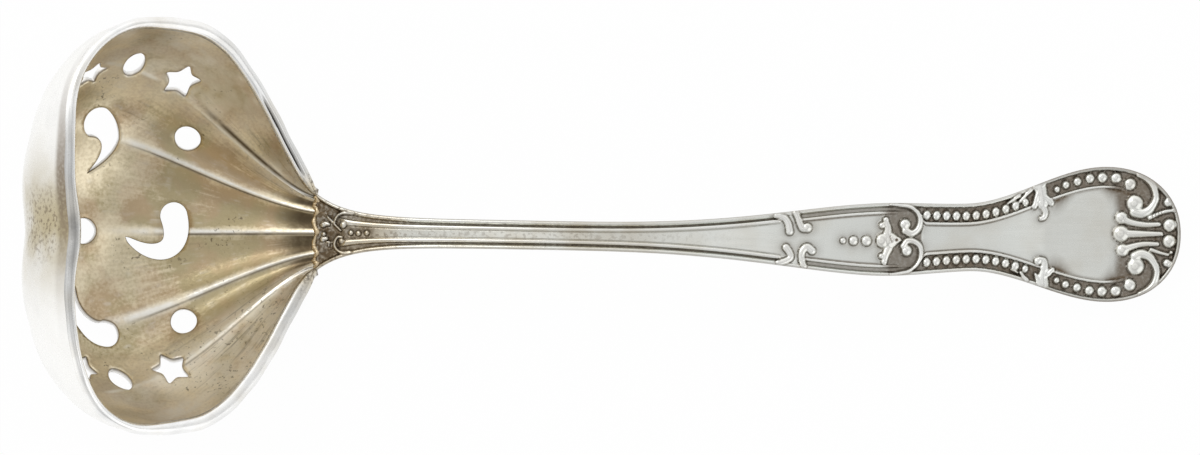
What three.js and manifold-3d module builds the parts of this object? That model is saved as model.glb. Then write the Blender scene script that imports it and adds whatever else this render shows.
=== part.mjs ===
// Sugar sifter spoon: a fluted and pierced bowl with a rim wire, silver-soldered to a die-struck handle.
// Millimetres, +Z up. X runs from the bowl to the handle's tip, and the spoon lies on its back on Z = 0.
import * as THREE from 'three';
import { mergeVertices } from 'three/addons/utils/BufferGeometryUtils.js';
import Module from 'manifold-3d';

const wasm = await Module();
wasm.setup();

// Bowl, measured in its rim plane from the middle of the neck edge
const BOWL_TILT = THREE.MathUtils.degToRad(42);
const BOWL_LENGTH = 40.9;
const SHOULDER_LENGTH = 26.6;
const BOWL_HALF_WIDTH = 25.6;
const NECK_HALF_WIDTH = 4.7;
const BOWL_DEPTH = 20.3;
const BOWL_WALL = 0.9;
const BOWL_WEAR = 0.3;
const FRONT_NOTCH = 0.9;
const FLUTE_COUNT = 6;
const FLUTE_HEIGHT = 1.5;

// Curves of the bowl: the power or angle that gives each its roundness
const FLANK_START = 1.45;
const FLANK_POWER = 3.4;
const FRONT_POWER = 2.4;
const FRONT_ANGLE = THREE.MathUtils.degToRad(70);
const NOTCH_SHARE = 0.16;
const CROSS_POWER = 2.4;
const REAR_POWER = 3.2;
const FRONT_WALL_POWER = 4.6;
const FRONT_WALL_FADE = 0.6;
const FAN_CROWDING = 1.1;
const FAN_FADE = 1.5;

// Rim wire and the clearances between soldered pieces
const RIM_WIDTH = 1.3;
const RIM_HEIGHT = 0.9;
const RIM_INNER_LIP = 0.2;
const RIM_FLANK_LIP = 1;
const RIM_BLEND = 10;
const RIM_SETBACK = 1.4;
const SEAM = 0.08;
const SEAT = 0.3;
const SOLDER_RADIUS = 0.45;
const SOLDER_SHARE = 0.9;

// Piercings
const ROUND_RADIUS = 1.7;
const STAR_RADIUS = 2.5;
const STAR_CORE = 1.3;
const SMALL_STAR_RADIUS = 2;
const SMALL_STAR_CORE = 1.05;
const STAR_STRETCH = 1.3;
const STAR_POINTS = 5;
const LEAF_LENGTH = 5;
const LEAF_WIDTH = 2.8;
const PUNCH_REACH = 2.5;

// Handle plan, each length measured from the place before it and the first from the neck
const NECK_TO_STEM = 27.6;
const STEM_TO_PANEL = 46.6;
const PANEL_TO_WAIST = 10.3;
const WAIST_TO_TERMINAL = 18.1;
const END_LENGTH = 9.3;
const ROOT_OVERHANG = 0.2;
const ROOT_FLARE = 4.1;
const STEM_HALF_WIDTH = 1.87;
const PANEL_HALF_WIDTH = 4.72;
const WAIST_HALF_WIDTH = 4.39;
const TERMINAL_HALF_WIDTH = 8.79;
const STEM_POWER = 1.75;
const END_POWER = 2.25;

// Handle side view
const STEM_THICKNESS = 2.3;
const TERMINAL_THICKNESS = 1.8;
const ROOT_STEP = 0.45;
const ARCH_REACH = 38;
const ARCH_HEIGHT = 9.6;
const TIP_WEAR = 0.15;
const TONGUE_LENGTH = 5.5;
const TONGUE_THICKNESS = 0.9;
const TONGUE_TIP_THICKNESS = 0.45;
const TONGUE_OVERLAP = 1;
const TONGUE_SHARE = 1 / 3;

// Handle relief, as distances in from the edge and heights over the flat face
const BORDER_INSET = { stem: 0.3, terminal: 0.45 };
const GROOVE_INSET = { stem: 0.8, terminal: 1.55 };
const RIB_INSET = { stem: 1.2, terminal: 2.55 };
const PANEL_INSET = { stem: 1.5, terminal: 2.95 };
const EDGE_DROP = -0.1;
const BORDER_HEIGHT = 0.35;
const GROOVE_DEPTH = -0.2;
const RIB_HEIGHT = 0.25;
const SCROLL_TO_PANEL = 12.4;
const SCROLL_RADIUS = 0.4;
const VOLUTE_RADIUS = 0.5;
const WAIST_BEAD_COUNT = 11;
const WAIST_BEAD_RADIUS = 0.58;
const TERMINAL_BEAD_COUNT = 7;
const TERMINAL_BEAD_RADIUS = { first: 0.42, last: 0.72 };
const ORNAMENT_SINK = 0.1;

// Mesh steps
const FLUTE_STEPS = 6;
const BOWL_ROWS = 18;
const TONGUE_ROWS = 3;
const RIM_SIDES = 6;
const TUBE_SIDES = 6;
const BALL_SIDES = 8;
const BALL_ROWS = 4;
const LIMIT = 1e-3;

const STEM_AT = NECK_TO_STEM;
const PANEL_AT = STEM_AT + STEM_TO_PANEL;
const WAIST_AT = PANEL_AT + PANEL_TO_WAIST;
const TERMINAL_AT = WAIST_AT + WAIST_TO_TERMINAL;
const HANDLE_LENGTH = TERMINAL_AT + END_LENGTH;
const SCROLL_AT = PANEL_AT - SCROLL_TO_PANEL;
const ROOT_HALF_WIDTH = NECK_HALF_WIDTH + ROOT_OVERHANG;
const ROOT_START = SOLDER_RADIUS + SEAM;

const { lerp, clamp } = THREE.MathUtils;
const smooth = (t) => THREE.MathUtils.smoothstep(t, 0, 1);
const range = (count) => Array.from({ length: count }, (_, k) => k);
const spread = (from, to, count) => range(count).map((k) => lerp(from, to, k / (count - 1)));

// Solids

/** Turns a closed geometry into a solid for cutting and joining. */
function solid(geometry) {
  geometry.deleteAttribute('normal');
  geometry.deleteAttribute('uv');
  const merged = mergeVertices(geometry, 1e-5);
  const vertProperties = new Float32Array(merged.attributes.position.array);
  const triVerts = new Uint32Array(merged.index.array);
  return new wasm.Manifold(new wasm.Mesh({ numProp: 3, vertProperties, triVerts }));
}

/** Turns a solid back into a geometry with flat shading. */
function geometryOf(body) {
  const mesh = body.getMesh();
  const geometry = new THREE.BufferGeometry();
  geometry.setAttribute('position', new THREE.BufferAttribute(mesh.vertProperties, 3));
  geometry.setIndex(new THREE.BufferAttribute(mesh.triVerts, 1));
  geometry.computeVertexNormals();
  return geometry;
}

/** Closed plate between two grids of points, rows by columns, the first grid facing along row x column. */
function plate(front, back) {
  const rows = front.length;
  const columns = front[0].length;
  const points = [...front.flat(), ...back.flat()];
  const faces = [];
  const quad = (a, b, c, d) => faces.push(a, b, c, a, c, d);
  const at = (side, row, column) => (side * rows + row) * columns + column;
  for (let row = 0; row + 1 < rows; row += 1) {
    for (let column = 0; column + 1 < columns; column += 1) {
      quad(at(0, row, column), at(0, row + 1, column), at(0, row + 1, column + 1), at(0, row, column + 1));
      quad(at(1, row, column), at(1, row, column + 1), at(1, row + 1, column + 1), at(1, row + 1, column));
    }
    quad(at(0, row, 0), at(1, row, 0), at(1, row + 1, 0), at(0, row + 1, 0));
    quad(at(0, row, columns - 1), at(0, row + 1, columns - 1), at(1, row + 1, columns - 1), at(1, row, columns - 1));
  }
  for (let column = 0; column + 1 < columns; column += 1) {
    quad(at(0, 0, column), at(0, 0, column + 1), at(1, 0, column + 1), at(1, 0, column));
    quad(at(0, rows - 1, column), at(1, rows - 1, column), at(1, rows - 1, column + 1), at(0, rows - 1, column + 1));
  }
  const geometry = new THREE.BufferGeometry().setFromPoints(points);
  geometry.setIndex(faces);
  return solid(geometry);
}

/** Closed bar through rings of equally many points, each ring convex and running the same way round. */
function bar(rings) {
  const sides = rings[0].length;
  const points = rings.flat();
  const faces = [];
  for (let ring = 0; ring + 1 < rings.length; ring += 1) {
    for (let k = 0; k < sides; k += 1) {
      const a = ring * sides + k;
      const b = ring * sides + ((k + 1) % sides);
      faces.push(a, b, b + sides, a, b + sides, a + sides);
    }
  }
  const last = (rings.length - 1) * sides;
  for (let k = 1; k + 1 < sides; k += 1) {
    faces.push(0, k + 1, k, last, last + k, last + k + 1);
  }
  const geometry = new THREE.BufferGeometry().setFromPoints(points);
  geometry.setIndex(faces);
  return solid(geometry);
}

/** Ball stretched along X, Y and Z by three radii. */
function ball(centre, radii) {
  const geometry = new THREE.SphereGeometry(1, BALL_SIDES, BALL_ROWS);
  geometry.rotateX(Math.PI / 2);
  geometry.scale(radii.x, radii.y, radii.z);
  geometry.translate(centre.x, centre.y, centre.z);
  return solid(geometry);
}

/** Tube along a curve through points, from one radius to another. */
function taperedTube(points, firstRadius, lastRadius, steps) {
  const curve = new THREE.CatmullRomCurve3(points);
  const up = new THREE.Vector3(0, 0, 1);
  const rings = range(steps + 1).map((step) => {
    const share = step / steps;
    const centre = curve.getPointAt(share);
    const side = up.clone().cross(curve.getTangentAt(share)).normalize();
    const radius = lerp(firstRadius, lastRadius, share);
    return range(TUBE_SIDES).map((k) => {
      const turn = (2 * Math.PI * k) / TUBE_SIDES;
      const offset = side.clone().multiplyScalar(radius * Math.cos(turn));
      return centre.clone().add(offset).addScaledVector(up, radius * Math.sin(turn));
    });
  });
  return bar(rings);
}

// Bowl surface: g runs across from -1 to 1 with the flutes, and t from 0 at the neck to 1 at the front

/** Edge of the bowl beside the neck, which sweeps out from the neck corner to the shoulder. */
function flank(t) {
  const widening = 1 - (1 - t ** FLANK_START) ** FLANK_POWER;
  return { u: SHOULDER_LENGTH * t, v: lerp(NECK_HALF_WIDTH, BOWL_HALF_WIDTH, widening) };
}

/** Front edge of the bowl from shoulder to shoulder, with its notch in the middle. */
function front(f) {
  const swell = Math.sqrt(Math.max(0, 1 - Math.abs(f) ** FRONT_POWER));
  const notch = FRONT_NOTCH * Math.exp(-((f / NOTCH_SHARE) ** 2));
  return {
    u: lerp(SHOULDER_LENGTH, BOWL_LENGTH, swell) - notch,
    v: (BOWL_HALF_WIDTH * Math.sin(FRONT_ANGLE * f)) / Math.sin(FRONT_ANGLE),
  };
}

/** Fans the flutes out from the neck, where they crowd towards the flanks. */
function fan(g, t) {
  const power = 1 + FAN_CROWDING * (1 - t ** FAN_FADE);
  return Math.sign(g) * (1 - (1 - Math.abs(g)) ** power);
}

/** Depth along the bowl for a front wall of the given steepness. */
function lengthwise(t, power) {
  return (1 - (1 - t) ** REAR_POWER) * Math.sqrt(Math.max(0, 1 - t ** power));
}
const FULL_DEPTH = Math.max(...spread(0, 1, 400).map((t) => lengthwise(t, FRONT_WALL_POWER)));

/** Depth of the smooth bowl under its rim plane. */
function depth(f, t) {
  const across = Math.sqrt(Math.max(0, 1 - Math.abs(f) ** CROSS_POWER));
  const power = FRONT_WALL_POWER * (1 - FRONT_WALL_FADE * f * f);
  return (BOWL_DEPTH * across * lengthwise(t, power)) / FULL_DEPTH;
}

/** Swell of each flute, less on the narrow outer ones at the neck, with creases that soften to the front. */
function flute(g, t) {
  const softness = 0.05 + 0.6 * t;
  const wave = Math.sin((FLUTE_COUNT * Math.PI * (g + 1)) / 2);
  const swell = Math.hypot(wave, softness) - softness;
  const narrowing = 1 - (1 - t) ** 4 * Math.abs(g) ** 3;
  return FLUTE_HEIGHT * swell * narrowing * (0.25 + t) ** 0.6 * (1 - t) ** 0.8;
}

/** Point from the rim plane's own axes: u to the front, v across, w up out of the bowl. */
function fromRimPlane(u, v, w) {
  const cos = Math.cos(BOWL_TILT);
  const sin = Math.sin(BOWL_TILT);
  return new THREE.Vector3(-u * cos + w * sin, v, u * sin + w * cos);
}

/** Inside of the bowl, with the neck edge at the origin. */
function bowlInside(g, t) {
  const f = fan(g, t);
  const side = flank(t);
  const edge = front(f);
  const u = side.u + t * (edge.u - SHOULDER_LENGTH);
  const v = f * side.v + t * (edge.v - f * BOWL_HALF_WIDTH);
  return fromRimPlane(u, v, -depth(f, t) - flute(g, t));
}

/** Directions on the bowl: along t, and out of the bowl. */
function bowlFrame(g, t) {
  const gIn = clamp(g, LIMIT * 2 - 1, 1 - LIMIT * 2);
  const tIn = clamp(t, LIMIT * 2, 1 - LIMIT * 2);
  const across = bowlInside(gIn + LIMIT, tIn).sub(bowlInside(gIn - LIMIT, tIn));
  const along = bowlInside(gIn, tIn + LIMIT).sub(bowlInside(gIn, tIn - LIMIT));
  const speed = along.length() / (2 * LIMIT);
  const out = along.clone().cross(across).normalize();
  return { along: along.normalize(), out, speed };
}

/** Point at a distance outside the bowl's inner face. */
function bowlPoint(g, t, distance) {
  return bowlInside(g, t).addScaledVector(bowlFrame(g, t).out, distance);
}

/** Places across the bowl, closest together where the wall stands up at the flanks. */
function flutePlaces() {
  const places = [];
  for (let index = 0; index < FLUTE_COUNT; index += 1) {
    for (let step = 0; step < FLUTE_STEPS; step += 1) {
      const turn = (step * Math.PI) / (2 * FLUTE_STEPS);
      let share = step / FLUTE_STEPS;
      if (index === 0) share = 1 - Math.cos(turn);
      if (index === FLUTE_COUNT - 1) share = Math.sin(turn);
      places.push((2 * (index + share)) / FLUTE_COUNT - 1);
    }
  }
  return [...places, 1];
}

const BOWL_COLUMNS = flutePlaces();
const BOWL_STEPS = range(BOWL_ROWS + 1).map((row) => Math.sin((row * Math.PI) / (2 * BOWL_ROWS)));
const outerGrid = BOWL_STEPS.map((t) => BOWL_COLUMNS.map((g) => bowlPoint(g, t, BOWL_WALL)));
const LOWEST = Math.min(...outerGrid.flat().map((point) => point.z));
const NECK_HEIGHT = -LOWEST - BOWL_WEAR;
const lift = new THREE.Vector3(0, 0, NECK_HEIGHT);

// Piercing outlines, X towards the front of the bowl and Y across it

/** Star with sharp points, stretched across the bowl. */
function starOutline(radius, core, phase) {
  const corners = range(2 * STAR_POINTS).map((k) => {
    const turn = phase + (k * Math.PI) / STAR_POINTS;
    const reach = k % 2 === 0 ? radius : core;
    return new THREE.Vector2(reach * Math.cos(turn), STAR_STRETCH * reach * Math.sin(turn));
  });
  return new THREE.Shape(corners);
}

/** Pointed leaf lying across the bowl, turned a little. */
function leafOutline(turn) {
  const middle = new THREE.Vector2();
  const tip = new THREE.Vector2(0, LEAF_LENGTH / 2).rotateAround(middle, turn);
  const bulge = new THREE.Vector2(LEAF_WIDTH, 0).rotateAround(middle, turn);
  const shape = new THREE.Shape();
  shape.moveTo(-tip.x, -tip.y);
  shape.quadraticCurveTo(bulge.x, bulge.y, tip.x, tip.y);
  shape.quadraticCurveTo(-bulge.x, -bulge.y, -tip.x, -tip.y);
  return shape;
}

/** Round hole. */
function roundOutline() {
  return new THREE.Shape().absarc(0, 0, ROUND_RADIUS, 0, 2 * Math.PI, false);
}

/** Comma: a round head at the origin and a tail that narrows along a curve to its tip. */
function commaOutline({ head, tail, taper }) {
  const [first, second, tip] = tail.map(([x, y]) => new THREE.Vector2(x, y));
  const spine = new THREE.CubicBezierCurve(new THREE.Vector2(), first, second, tip);
  const sides = spread(0, 0.94, 8).map((share) => {
    const tangent = spine.getTangent(share);
    const reach = head * (1 - share) ** taper;
    const offset = new THREE.Vector2(-tangent.y, tangent.x).multiplyScalar(reach);
    const middle = spine.getPoint(share);
    return { left: middle.clone().add(offset), right: middle.clone().sub(offset) };
  });
  const start = spine.getTangent(0).angle();
  const cap = spread(0.5, 1.5, 7).slice(1, -1).map((turn) => {
    const angle = start + turn * Math.PI;
    return new THREE.Vector2(head * Math.cos(angle), head * Math.sin(angle));
  });
  const lefts = sides.map(({ left }) => left).reverse();
  const rights = sides.map(({ right }) => right);
  return new THREE.Shape([tip, ...lefts, ...cap, ...rights]);
}

const COMMAS = [
  { place: [0.066, 0.289], head: 1.75, taper: 0.55, tail: [[-1.9, -4.7], [2, -6.3], [5.95, -3.4]] },
  { place: [0.376, 0.571], head: 2.1, taper: 1, tail: [[-2.6, -0.6], [-4, -3.6], [-1, -6.9]] },
  { place: [-0.37, 0.54], head: 1.85, taper: 0.6, tail: [[2.4, 0.4], [3.9, 4.4], [1.9, 7]] },
];
const STARS = [
  { place: [0.737, 0.475], phase: 0.1 },
  { place: [-0.661, 0.463], phase: 0.35 },
];
const LEAVES = [
  { place: [0.689, 0.618], turn: -0.1 },
  { place: [-0.605, 0.612], turn: 0.25 },
];
const PIERCINGS = [
  ...COMMAS.map((comma) => ({ place: comma.place, outline: commaOutline(comma) })),
  ...STARS.map(({ place, phase }) => ({ place, outline: starOutline(STAR_RADIUS, STAR_CORE, phase) })),
  ...[[0.595, 0.722], [-0.507, 0.689]].map((place) => (
    { place, outline: starOutline(SMALL_STAR_RADIUS, SMALL_STAR_CORE, 0) })),
  ...[[0.492, 0.32], [-0.472, 0.322], [0, 0.562]].map((place) => ({ place, outline: roundOutline() })),
  ...LEAVES.map(({ place, turn }) => ({ place, outline: leafOutline(turn) })),
];

/** Punch that cuts one outline square through the bowl's wall. */
function punch({ place: [g, t], outline }) {
  const { along, out } = bowlFrame(g, t);
  const centre = bowlInside(g, t).add(lift);
  const geometry = new THREE.ExtrudeGeometry(outline, {
    depth: 2 * PUNCH_REACH, bevelEnabled: false, curveSegments: BALL_SIDES,
  });
  geometry.translate(0, 0, -PUNCH_REACH);
  const placing = new THREE.Matrix4().makeBasis(along, out.clone().cross(along), out).setPosition(centre);
  return solid(geometry.applyMatrix4(placing));
}

/** Everything under the table, which takes off what wear has flattened. */
function underTable() {
  const reach = 2 * (HANDLE_LENGTH + BOWL_LENGTH);
  const geometry = new THREE.BoxGeometry(reach, reach, reach);
  geometry.translate(0, 0, -reach / 2);
  return solid(geometry);
}

function bowlShell() {
  const inner = BOWL_STEPS.map((t) => BOWL_COLUMNS.map((g) => bowlInside(g, t).add(lift)));
  const outer = outerGrid.map((row) => row.map((point) => point.clone().add(lift)));
  const blank = plate(outer, inner).subtract(underTable());
  return PIERCINGS.reduce((body, piercing) => body.subtract(punch(piercing)), blank);
}

/** How far the rim wire reaches in over the bowl: little round the front, more along the flanks. */
function rimLip(u) {
  return lerp(RIM_INNER_LIP, RIM_FLANK_LIP, smooth((SHOULDER_LENGTH + RIM_BLEND / 2 - u) / RIM_BLEND));
}

// Rim wire: half round, laid on the bowl's edge from one side of the neck round to the other
function rimWire() {
  const firstShare = 1 - RIM_SETBACK / (BOWL_HALF_WIDTH - NECK_HALF_WIDTH);
  const first = (1 - firstShare ** (1 / FLANK_POWER)) ** (1 / FLANK_START);
  const side = [first, ...BOWL_STEPS.filter((t) => t > first + LIMIT)].map(flank);
  const edge = BOWL_COLUMNS.slice(1, -1).map(front);
  const mirrored = side.map(({ u, v }) => ({ u, v: -v }));
  const path = [...mirrored, ...edge, ...side.reverse()];
  const outerReach = RIM_WIDTH - RIM_INNER_LIP;
  const rings = path.map((point, index) => {
    const before = path[Math.max(0, index - 1)];
    const after = path[Math.min(path.length - 1, index + 1)];
    const run = Math.hypot(after.u - before.u, after.v - before.v);
    const out = { u: (after.v - before.v) / run, v: (before.u - after.u) / run };
    return spread(0, Math.PI, RIM_SIDES + 1).map((turn) => {
      const reach = lerp(-rimLip(point.u), outerReach, (1 + Math.cos(turn)) / 2);
      const height = SEAM + RIM_HEIGHT * Math.sin(turn);
      return fromRimPlane(point.u + reach * out.u, point.v + reach * out.v, height).add(lift);
    });
  });
  return bar(rings);
}

// Solder: a half-round fillet that follows the fluted neck edge on the inside
function neckSolder() {
  const rings = BOWL_COLUMNS.filter((g) => Math.abs(g) <= SOLDER_SHARE).map((g) => {
    const { along, out } = bowlFrame(g, 0);
    const base = bowlPoint(g, 0, -SEAM).add(lift);
    return spread(0, Math.PI, RIM_SIDES + 1).map((turn) => base.clone()
      .addScaledVector(along, SOLDER_RADIUS * Math.cos(turn))
      .addScaledVector(out, -SOLDER_RADIUS * Math.sin(turn)));
  });
  return bar(rings);
}

// Handle plan and side view, by distance s from the neck

/** Half the handle's width. */
function halfWidth(s) {
  if (s < STEM_AT) return STEM_HALF_WIDTH + (ROOT_HALF_WIDTH - STEM_HALF_WIDTH) * Math.exp(-s / ROOT_FLARE);
  if (s < PANEL_AT) {
    return lerp(STEM_HALF_WIDTH, PANEL_HALF_WIDTH, smooth(((s - STEM_AT) / STEM_TO_PANEL) ** STEM_POWER));
  }
  if (s < WAIST_AT) return lerp(PANEL_HALF_WIDTH, WAIST_HALF_WIDTH, smooth((s - PANEL_AT) / PANEL_TO_WAIST));
  if (s < TERMINAL_AT) {
    return lerp(WAIST_HALF_WIDTH, TERMINAL_HALF_WIDTH, smooth((s - WAIST_AT) / WAIST_TO_TERMINAL));
  }
  return insetHalfWidth(s, 0);
}

/** Half the width of a line drawn at an inset from the handle's edge. */
function insetHalfWidth(s, inset) {
  if (s < TERMINAL_AT) return halfWidth(s) - inset;
  const share = Math.min(1, (s - TERMINAL_AT) / (END_LENGTH - inset));
  return (TERMINAL_HALF_WIDTH - inset) * (1 - share ** END_POWER) ** (1 / END_POWER);
}

/** Distance of a point from the handle's edge. */
function fromEdge(s, y) {
  if (s < TERMINAL_AT) return halfWidth(s) - Math.abs(y);
  const along = ((s - TERMINAL_AT) / END_LENGTH) ** END_POWER;
  const across = (Math.abs(y) / TERMINAL_HALF_WIDTH) ** END_POWER;
  const share = (along + across) ** (1 / END_POWER);
  return (1 - share) * Math.min(END_LENGTH, TERMINAL_HALF_WIDTH);
}

function thickness(s) {
  return lerp(STEM_THICKNESS, TERMINAL_THICKNESS, smooth((s - STEM_AT) / (TERMINAL_AT - STEM_AT)));
}

/** Height of the handle's back over the table. */
function underside(s) {
  const root = NECK_HEIGHT + ROOT_STEP - STEM_THICKNESS;
  if (s < ARCH_REACH) return lerp(root, ARCH_HEIGHT, Math.sin((Math.PI * s) / (2 * ARCH_REACH)));
  const fall = smooth((s - ARCH_REACH) / (HANDLE_LENGTH - ARCH_REACH));
  return Math.max(0, (ARCH_HEIGHT + TIP_WEAR) * (1 - fall) - TIP_WEAR);
}

function face(s) {
  return underside(s) + thickness(s);
}

/** An inset of the relief, which widens from the stem's to the terminal's by the scrolls. */
function insetAt(inset, s) {
  return lerp(inset.stem, inset.terminal, smooth((s - SCROLL_AT + 2) / 4));
}

/** Height of the border, groove and rib at a distance from the edge. */
function relief(s, distance) {
  const places = [0, BORDER_INSET, GROOVE_INSET, RIB_INSET, PANEL_INSET].map(
    (inset) => (inset === 0 ? 0 : insetAt(inset, s)));
  const heights = [EDGE_DROP, BORDER_HEIGHT, GROOVE_DEPTH, RIB_HEIGHT, 0];
  const next = places.findIndex((place) => place > distance);
  if (next < 0) return 0;
  if (next === 0) return EDGE_DROP;
  const share = (distance - places[next - 1]) / (places[next] - places[next - 1]);
  return lerp(heights[next - 1], heights[next], share);
}

const TRACK_SHARES = [1, 0.8, 0.6, 0.4, 0.2];

/** Places across the handle, on the lines of the relief. */
function tracks(s) {
  const insets = [0, BORDER_INSET, GROOVE_INSET, RIB_INSET, PANEL_INSET].map(
    (inset) => (inset === 0 ? 0 : insetAt(inset, s)));
  const half = insets.map((inset, index) => Math.max(insetHalfWidth(s, inset), TRACK_SHARES[index] * halfWidth(s)));
  half[0] = halfWidth(s);
  return [...half.map((y) => -y), 0, ...half.reverse()];
}

function handlePlate() {
  const stations = [
    ...spread(0, 1, 11).slice(0, -1).map((share) => lerp(ROOT_START, STEM_AT, share * share)),
    ...spread(STEM_AT, PANEL_AT, 14).slice(0, -1),
    ...spread(PANEL_AT, TERMINAL_AT, 15).slice(0, -1),
    ...spread(0, 0.97, 11).map((share) => TERMINAL_AT + END_LENGTH * Math.sin((share * Math.PI) / 2)),
  ];
  const top = stations.map((s) => tracks(s).map(
    (y) => new THREE.Vector3(s, y, face(s) + relief(s, fromEdge(s, y)))));
  const back = stations.map((s) => tracks(s).map((y) => new THREE.Vector3(s, y, underside(s))));
  return plate(top, back);
}

/** Tongue of the handle that laps the bowl's outside below the neck. */
function tongue() {
  const { along, speed } = bowlFrame(0, 0);
  const reach = TONGUE_LENGTH / speed;
  const layer = (depthAt) => {
    const rows = spread(0, 1, TONGUE_ROWS).map((share) => {
      const narrowing = TONGUE_SHARE * (1 - 0.5 * share * share);
      return spread(-narrowing, narrowing, 2 * FLUTE_STEPS + 1).map(
        (g) => bowlPoint(g, reach * share, depthAt(share)).add(lift));
    });
    const joint = rows[0].map((point) => point.clone().addScaledVector(along, -TONGUE_OVERLAP));
    return [joint, ...rows];
  };
  const gap = BOWL_WALL + SEAT;
  const below = layer((share) => gap + lerp(TONGUE_THICKNESS, TONGUE_TIP_THICKNESS, share));
  return plate(below, layer(() => gap));
}

// Handle ornament: places are a distance along the handle and a share of its half width there

/** Point on the handle's face. */
function onFace(s, share) {
  return new THREE.Vector3(s, share * halfWidth(s), face(s) - ORNAMENT_SINK);
}

/** The same ornament on both sides of the handle's middle line. */
function bothSides(make) {
  return [1, -1].flatMap((side) => make(side));
}

function bead(centre, radius) {
  return ball(centre, new THREE.Vector3(radius, radius, radius));
}

/** Tube through places on the face that ends in a bead. */
function scroll(from, places, radius, beadRadius, steps) {
  return bothSides((side) => {
    const points = places.map(([s, share]) => onFace(from + s, side * share));
    return [taperedTube(points, radius, 0.7 * radius, steps), bead(points.at(-1), beadRadius)];
  });
}

/** Row of beads that follows the handle's edge at an inset. */
function beadRow(stations, radiusAt) {
  return bothSides((side) => stations.map((s, index) => {
    const inset = insetAt(GROOVE_INSET, s);
    const centre = new THREE.Vector3(s, side * insetHalfWidth(s, inset), face(s) - ORNAMENT_SINK);
    return bead(centre, radiusAt(index / (stations.length - 1)));
  }));
}

function rootOrnament() {
  const petals = [[1.7, 0], [1.5, 0.36], [1.5, -0.36]].map(
    ([s, share]) => ball(onFace(s, share), new THREE.Vector3(0.9, 0.55, 0.45)));
  const line = [[4.65, 0.35], [5.55, 0.4], [6.6, 0.45]].map(([s, radius]) => bead(onFace(s, 0), radius));
  return [...petals, ...line, ...scroll(0, [[2.2, 0.72], [3.3, 0.6], [3.4, 0.3]], 0.3, 0.4, 6)];
}

function stemScrolls() {
  return [
    ...scroll(SCROLL_AT, [[-1.85, 0.77], [-0.8, 0.62], [-0.55, 0.28]], SCROLL_RADIUS, 0.5, 6),
    ...scroll(SCROLL_AT, [[0.35, 0.8], [0.6, 0.55], [1.6, 0.42]], SCROLL_RADIUS, 0.55, 6),
  ];
}

function panelOrnament() {
  const line = [[-6.2, 0.4], [-4.8, 0.65], [-3.1, 0.78]].map(([s, radius]) => bead(onFace(PANEL_AT + s, 0), radius));
  const bud = ball(onFace(PANEL_AT - 0.3, 0), new THREE.Vector3(1.4, 1.5, 0.75));
  const leaves = bothSides((side) => [ball(onFace(PANEL_AT - 0.7, 0.5 * side), new THREE.Vector3(0.6, 0.8, 0.5))]);
  const volutes = scroll(PANEL_AT, [[2.84, 0.92], [3.9, 0.56], [2.84, 0.12], [1.9, 0.39]], VOLUTE_RADIUS, 0.85, 12);
  return [...line, bud, ...leaves, ...volutes];
}

function waistOrnament() {
  const beads = beadRow(spread(PANEL_AT + 4.6, TERMINAL_AT - 11, WAIST_BEAD_COUNT), () => WAIST_BEAD_RADIUS);
  const lobes = [[-10, 0.63, 0.9], [-8.4, 0.33, 0.8], [-7.5, 0.58, 0.75], [-9.2, 0.84, 0.7]];
  const brackets = bothSides((side) => lobes.map(
    ([s, share, radius]) => ball(onFace(TERMINAL_AT + s, side * share), new THREE.Vector3(radius, radius, 0.55))));
  return [...beads, ...brackets];
}

function terminalOrnament() {
  const { first, last } = TERMINAL_BEAD_RADIUS;
  const beads = beadRow(spread(TERMINAL_AT - 7, TERMINAL_AT + 2.6, TERMINAL_BEAD_COUNT), (k) => lerp(first, last, k));
  const curl = [[5.15, 0.95], [6.05, 0.84], [5.8, 0.57], [4.25, 0.33], [2.7, 0.36], [2.4, 0.5], [3.2, 0.55]];
  const volutes = scroll(TERMINAL_AT, curl, VOLUTE_RADIUS, 1, 18);
  const ray = taperedTube([onFace(TERMINAL_AT + 1.1, 0), onFace(TERMINAL_AT + 6.7, 0)], 0.8, 0.35, 4);
  const sideRays = bothSides((side) => {
    const points = [[1.4, 0.25], [3.2, 0.158], [6.2, 0.177]].map(([s, share]) => onFace(TERMINAL_AT + s, side * share));
    return [taperedTube(points, 0.55, 0.3, 6), bead(points[0], 0.7)];
  });
  const drops = bothSides((side) => [
    bead(onFace(TERMINAL_AT + 7.5, 0.21 * side), 0.85),
    bead(onFace(TERMINAL_AT + 7.4, 0.72 * side), 0.6),
  ]);
  return [...beads, ...volutes, ray, bead(onFace(TERMINAL_AT + 1.1, 0), 1), ...sideRays, ...drops];
}

function handle() {
  const ornament = [rootOrnament, stemScrolls, panelOrnament, waistOrnament, terminalOrnament];
  const bodies = [tongue(), ...ornament.flatMap((make) => make())];
  return bodies.reduce((whole, body) => whole.add(body), handlePlate()).subtract(underTable());
}

// Assembly

const SILVER = { color: 0xc9c6c0, roughness: 0.3, metalness: 1 };
const GILT = { color: 0xb09a72, roughness: 0.4, metalness: 1 };
const PIECES = [
  ['bowl_shell', bowlShell(), GILT],
  ['rim_wire', rimWire(), SILVER],
  ['neck_solder', neckSolder(), SILVER],
  ['handle', handle(), SILVER],
];

const spoon = new THREE.Group();
for (const [name, body, finish] of PIECES) {
  const mesh = new THREE.Mesh(geometryOf(body), new THREE.MeshStandardMaterial(finish));
  mesh.name = name;
  spoon.add(mesh);
}
const box = new THREE.Box3().setFromObject(spoon);
spoon.position.x = -(box.min.x + box.max.x) / 2;

export default spoon;
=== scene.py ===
"""Sugar sifter spoon: a fluted, pierced, gilt-lined bowl with its rim, on a die-struck silver handle.

The formulas work in millimetres from the middle of the neck edge, with X towards the handle's tip, Y
across and Z up. The meshes are made in metres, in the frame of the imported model.
"""

import logging
import math
from dataclasses import astuple, dataclass, field, replace
from enum import Enum

import bpy
import numpy as np
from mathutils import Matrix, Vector, geometry


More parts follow.
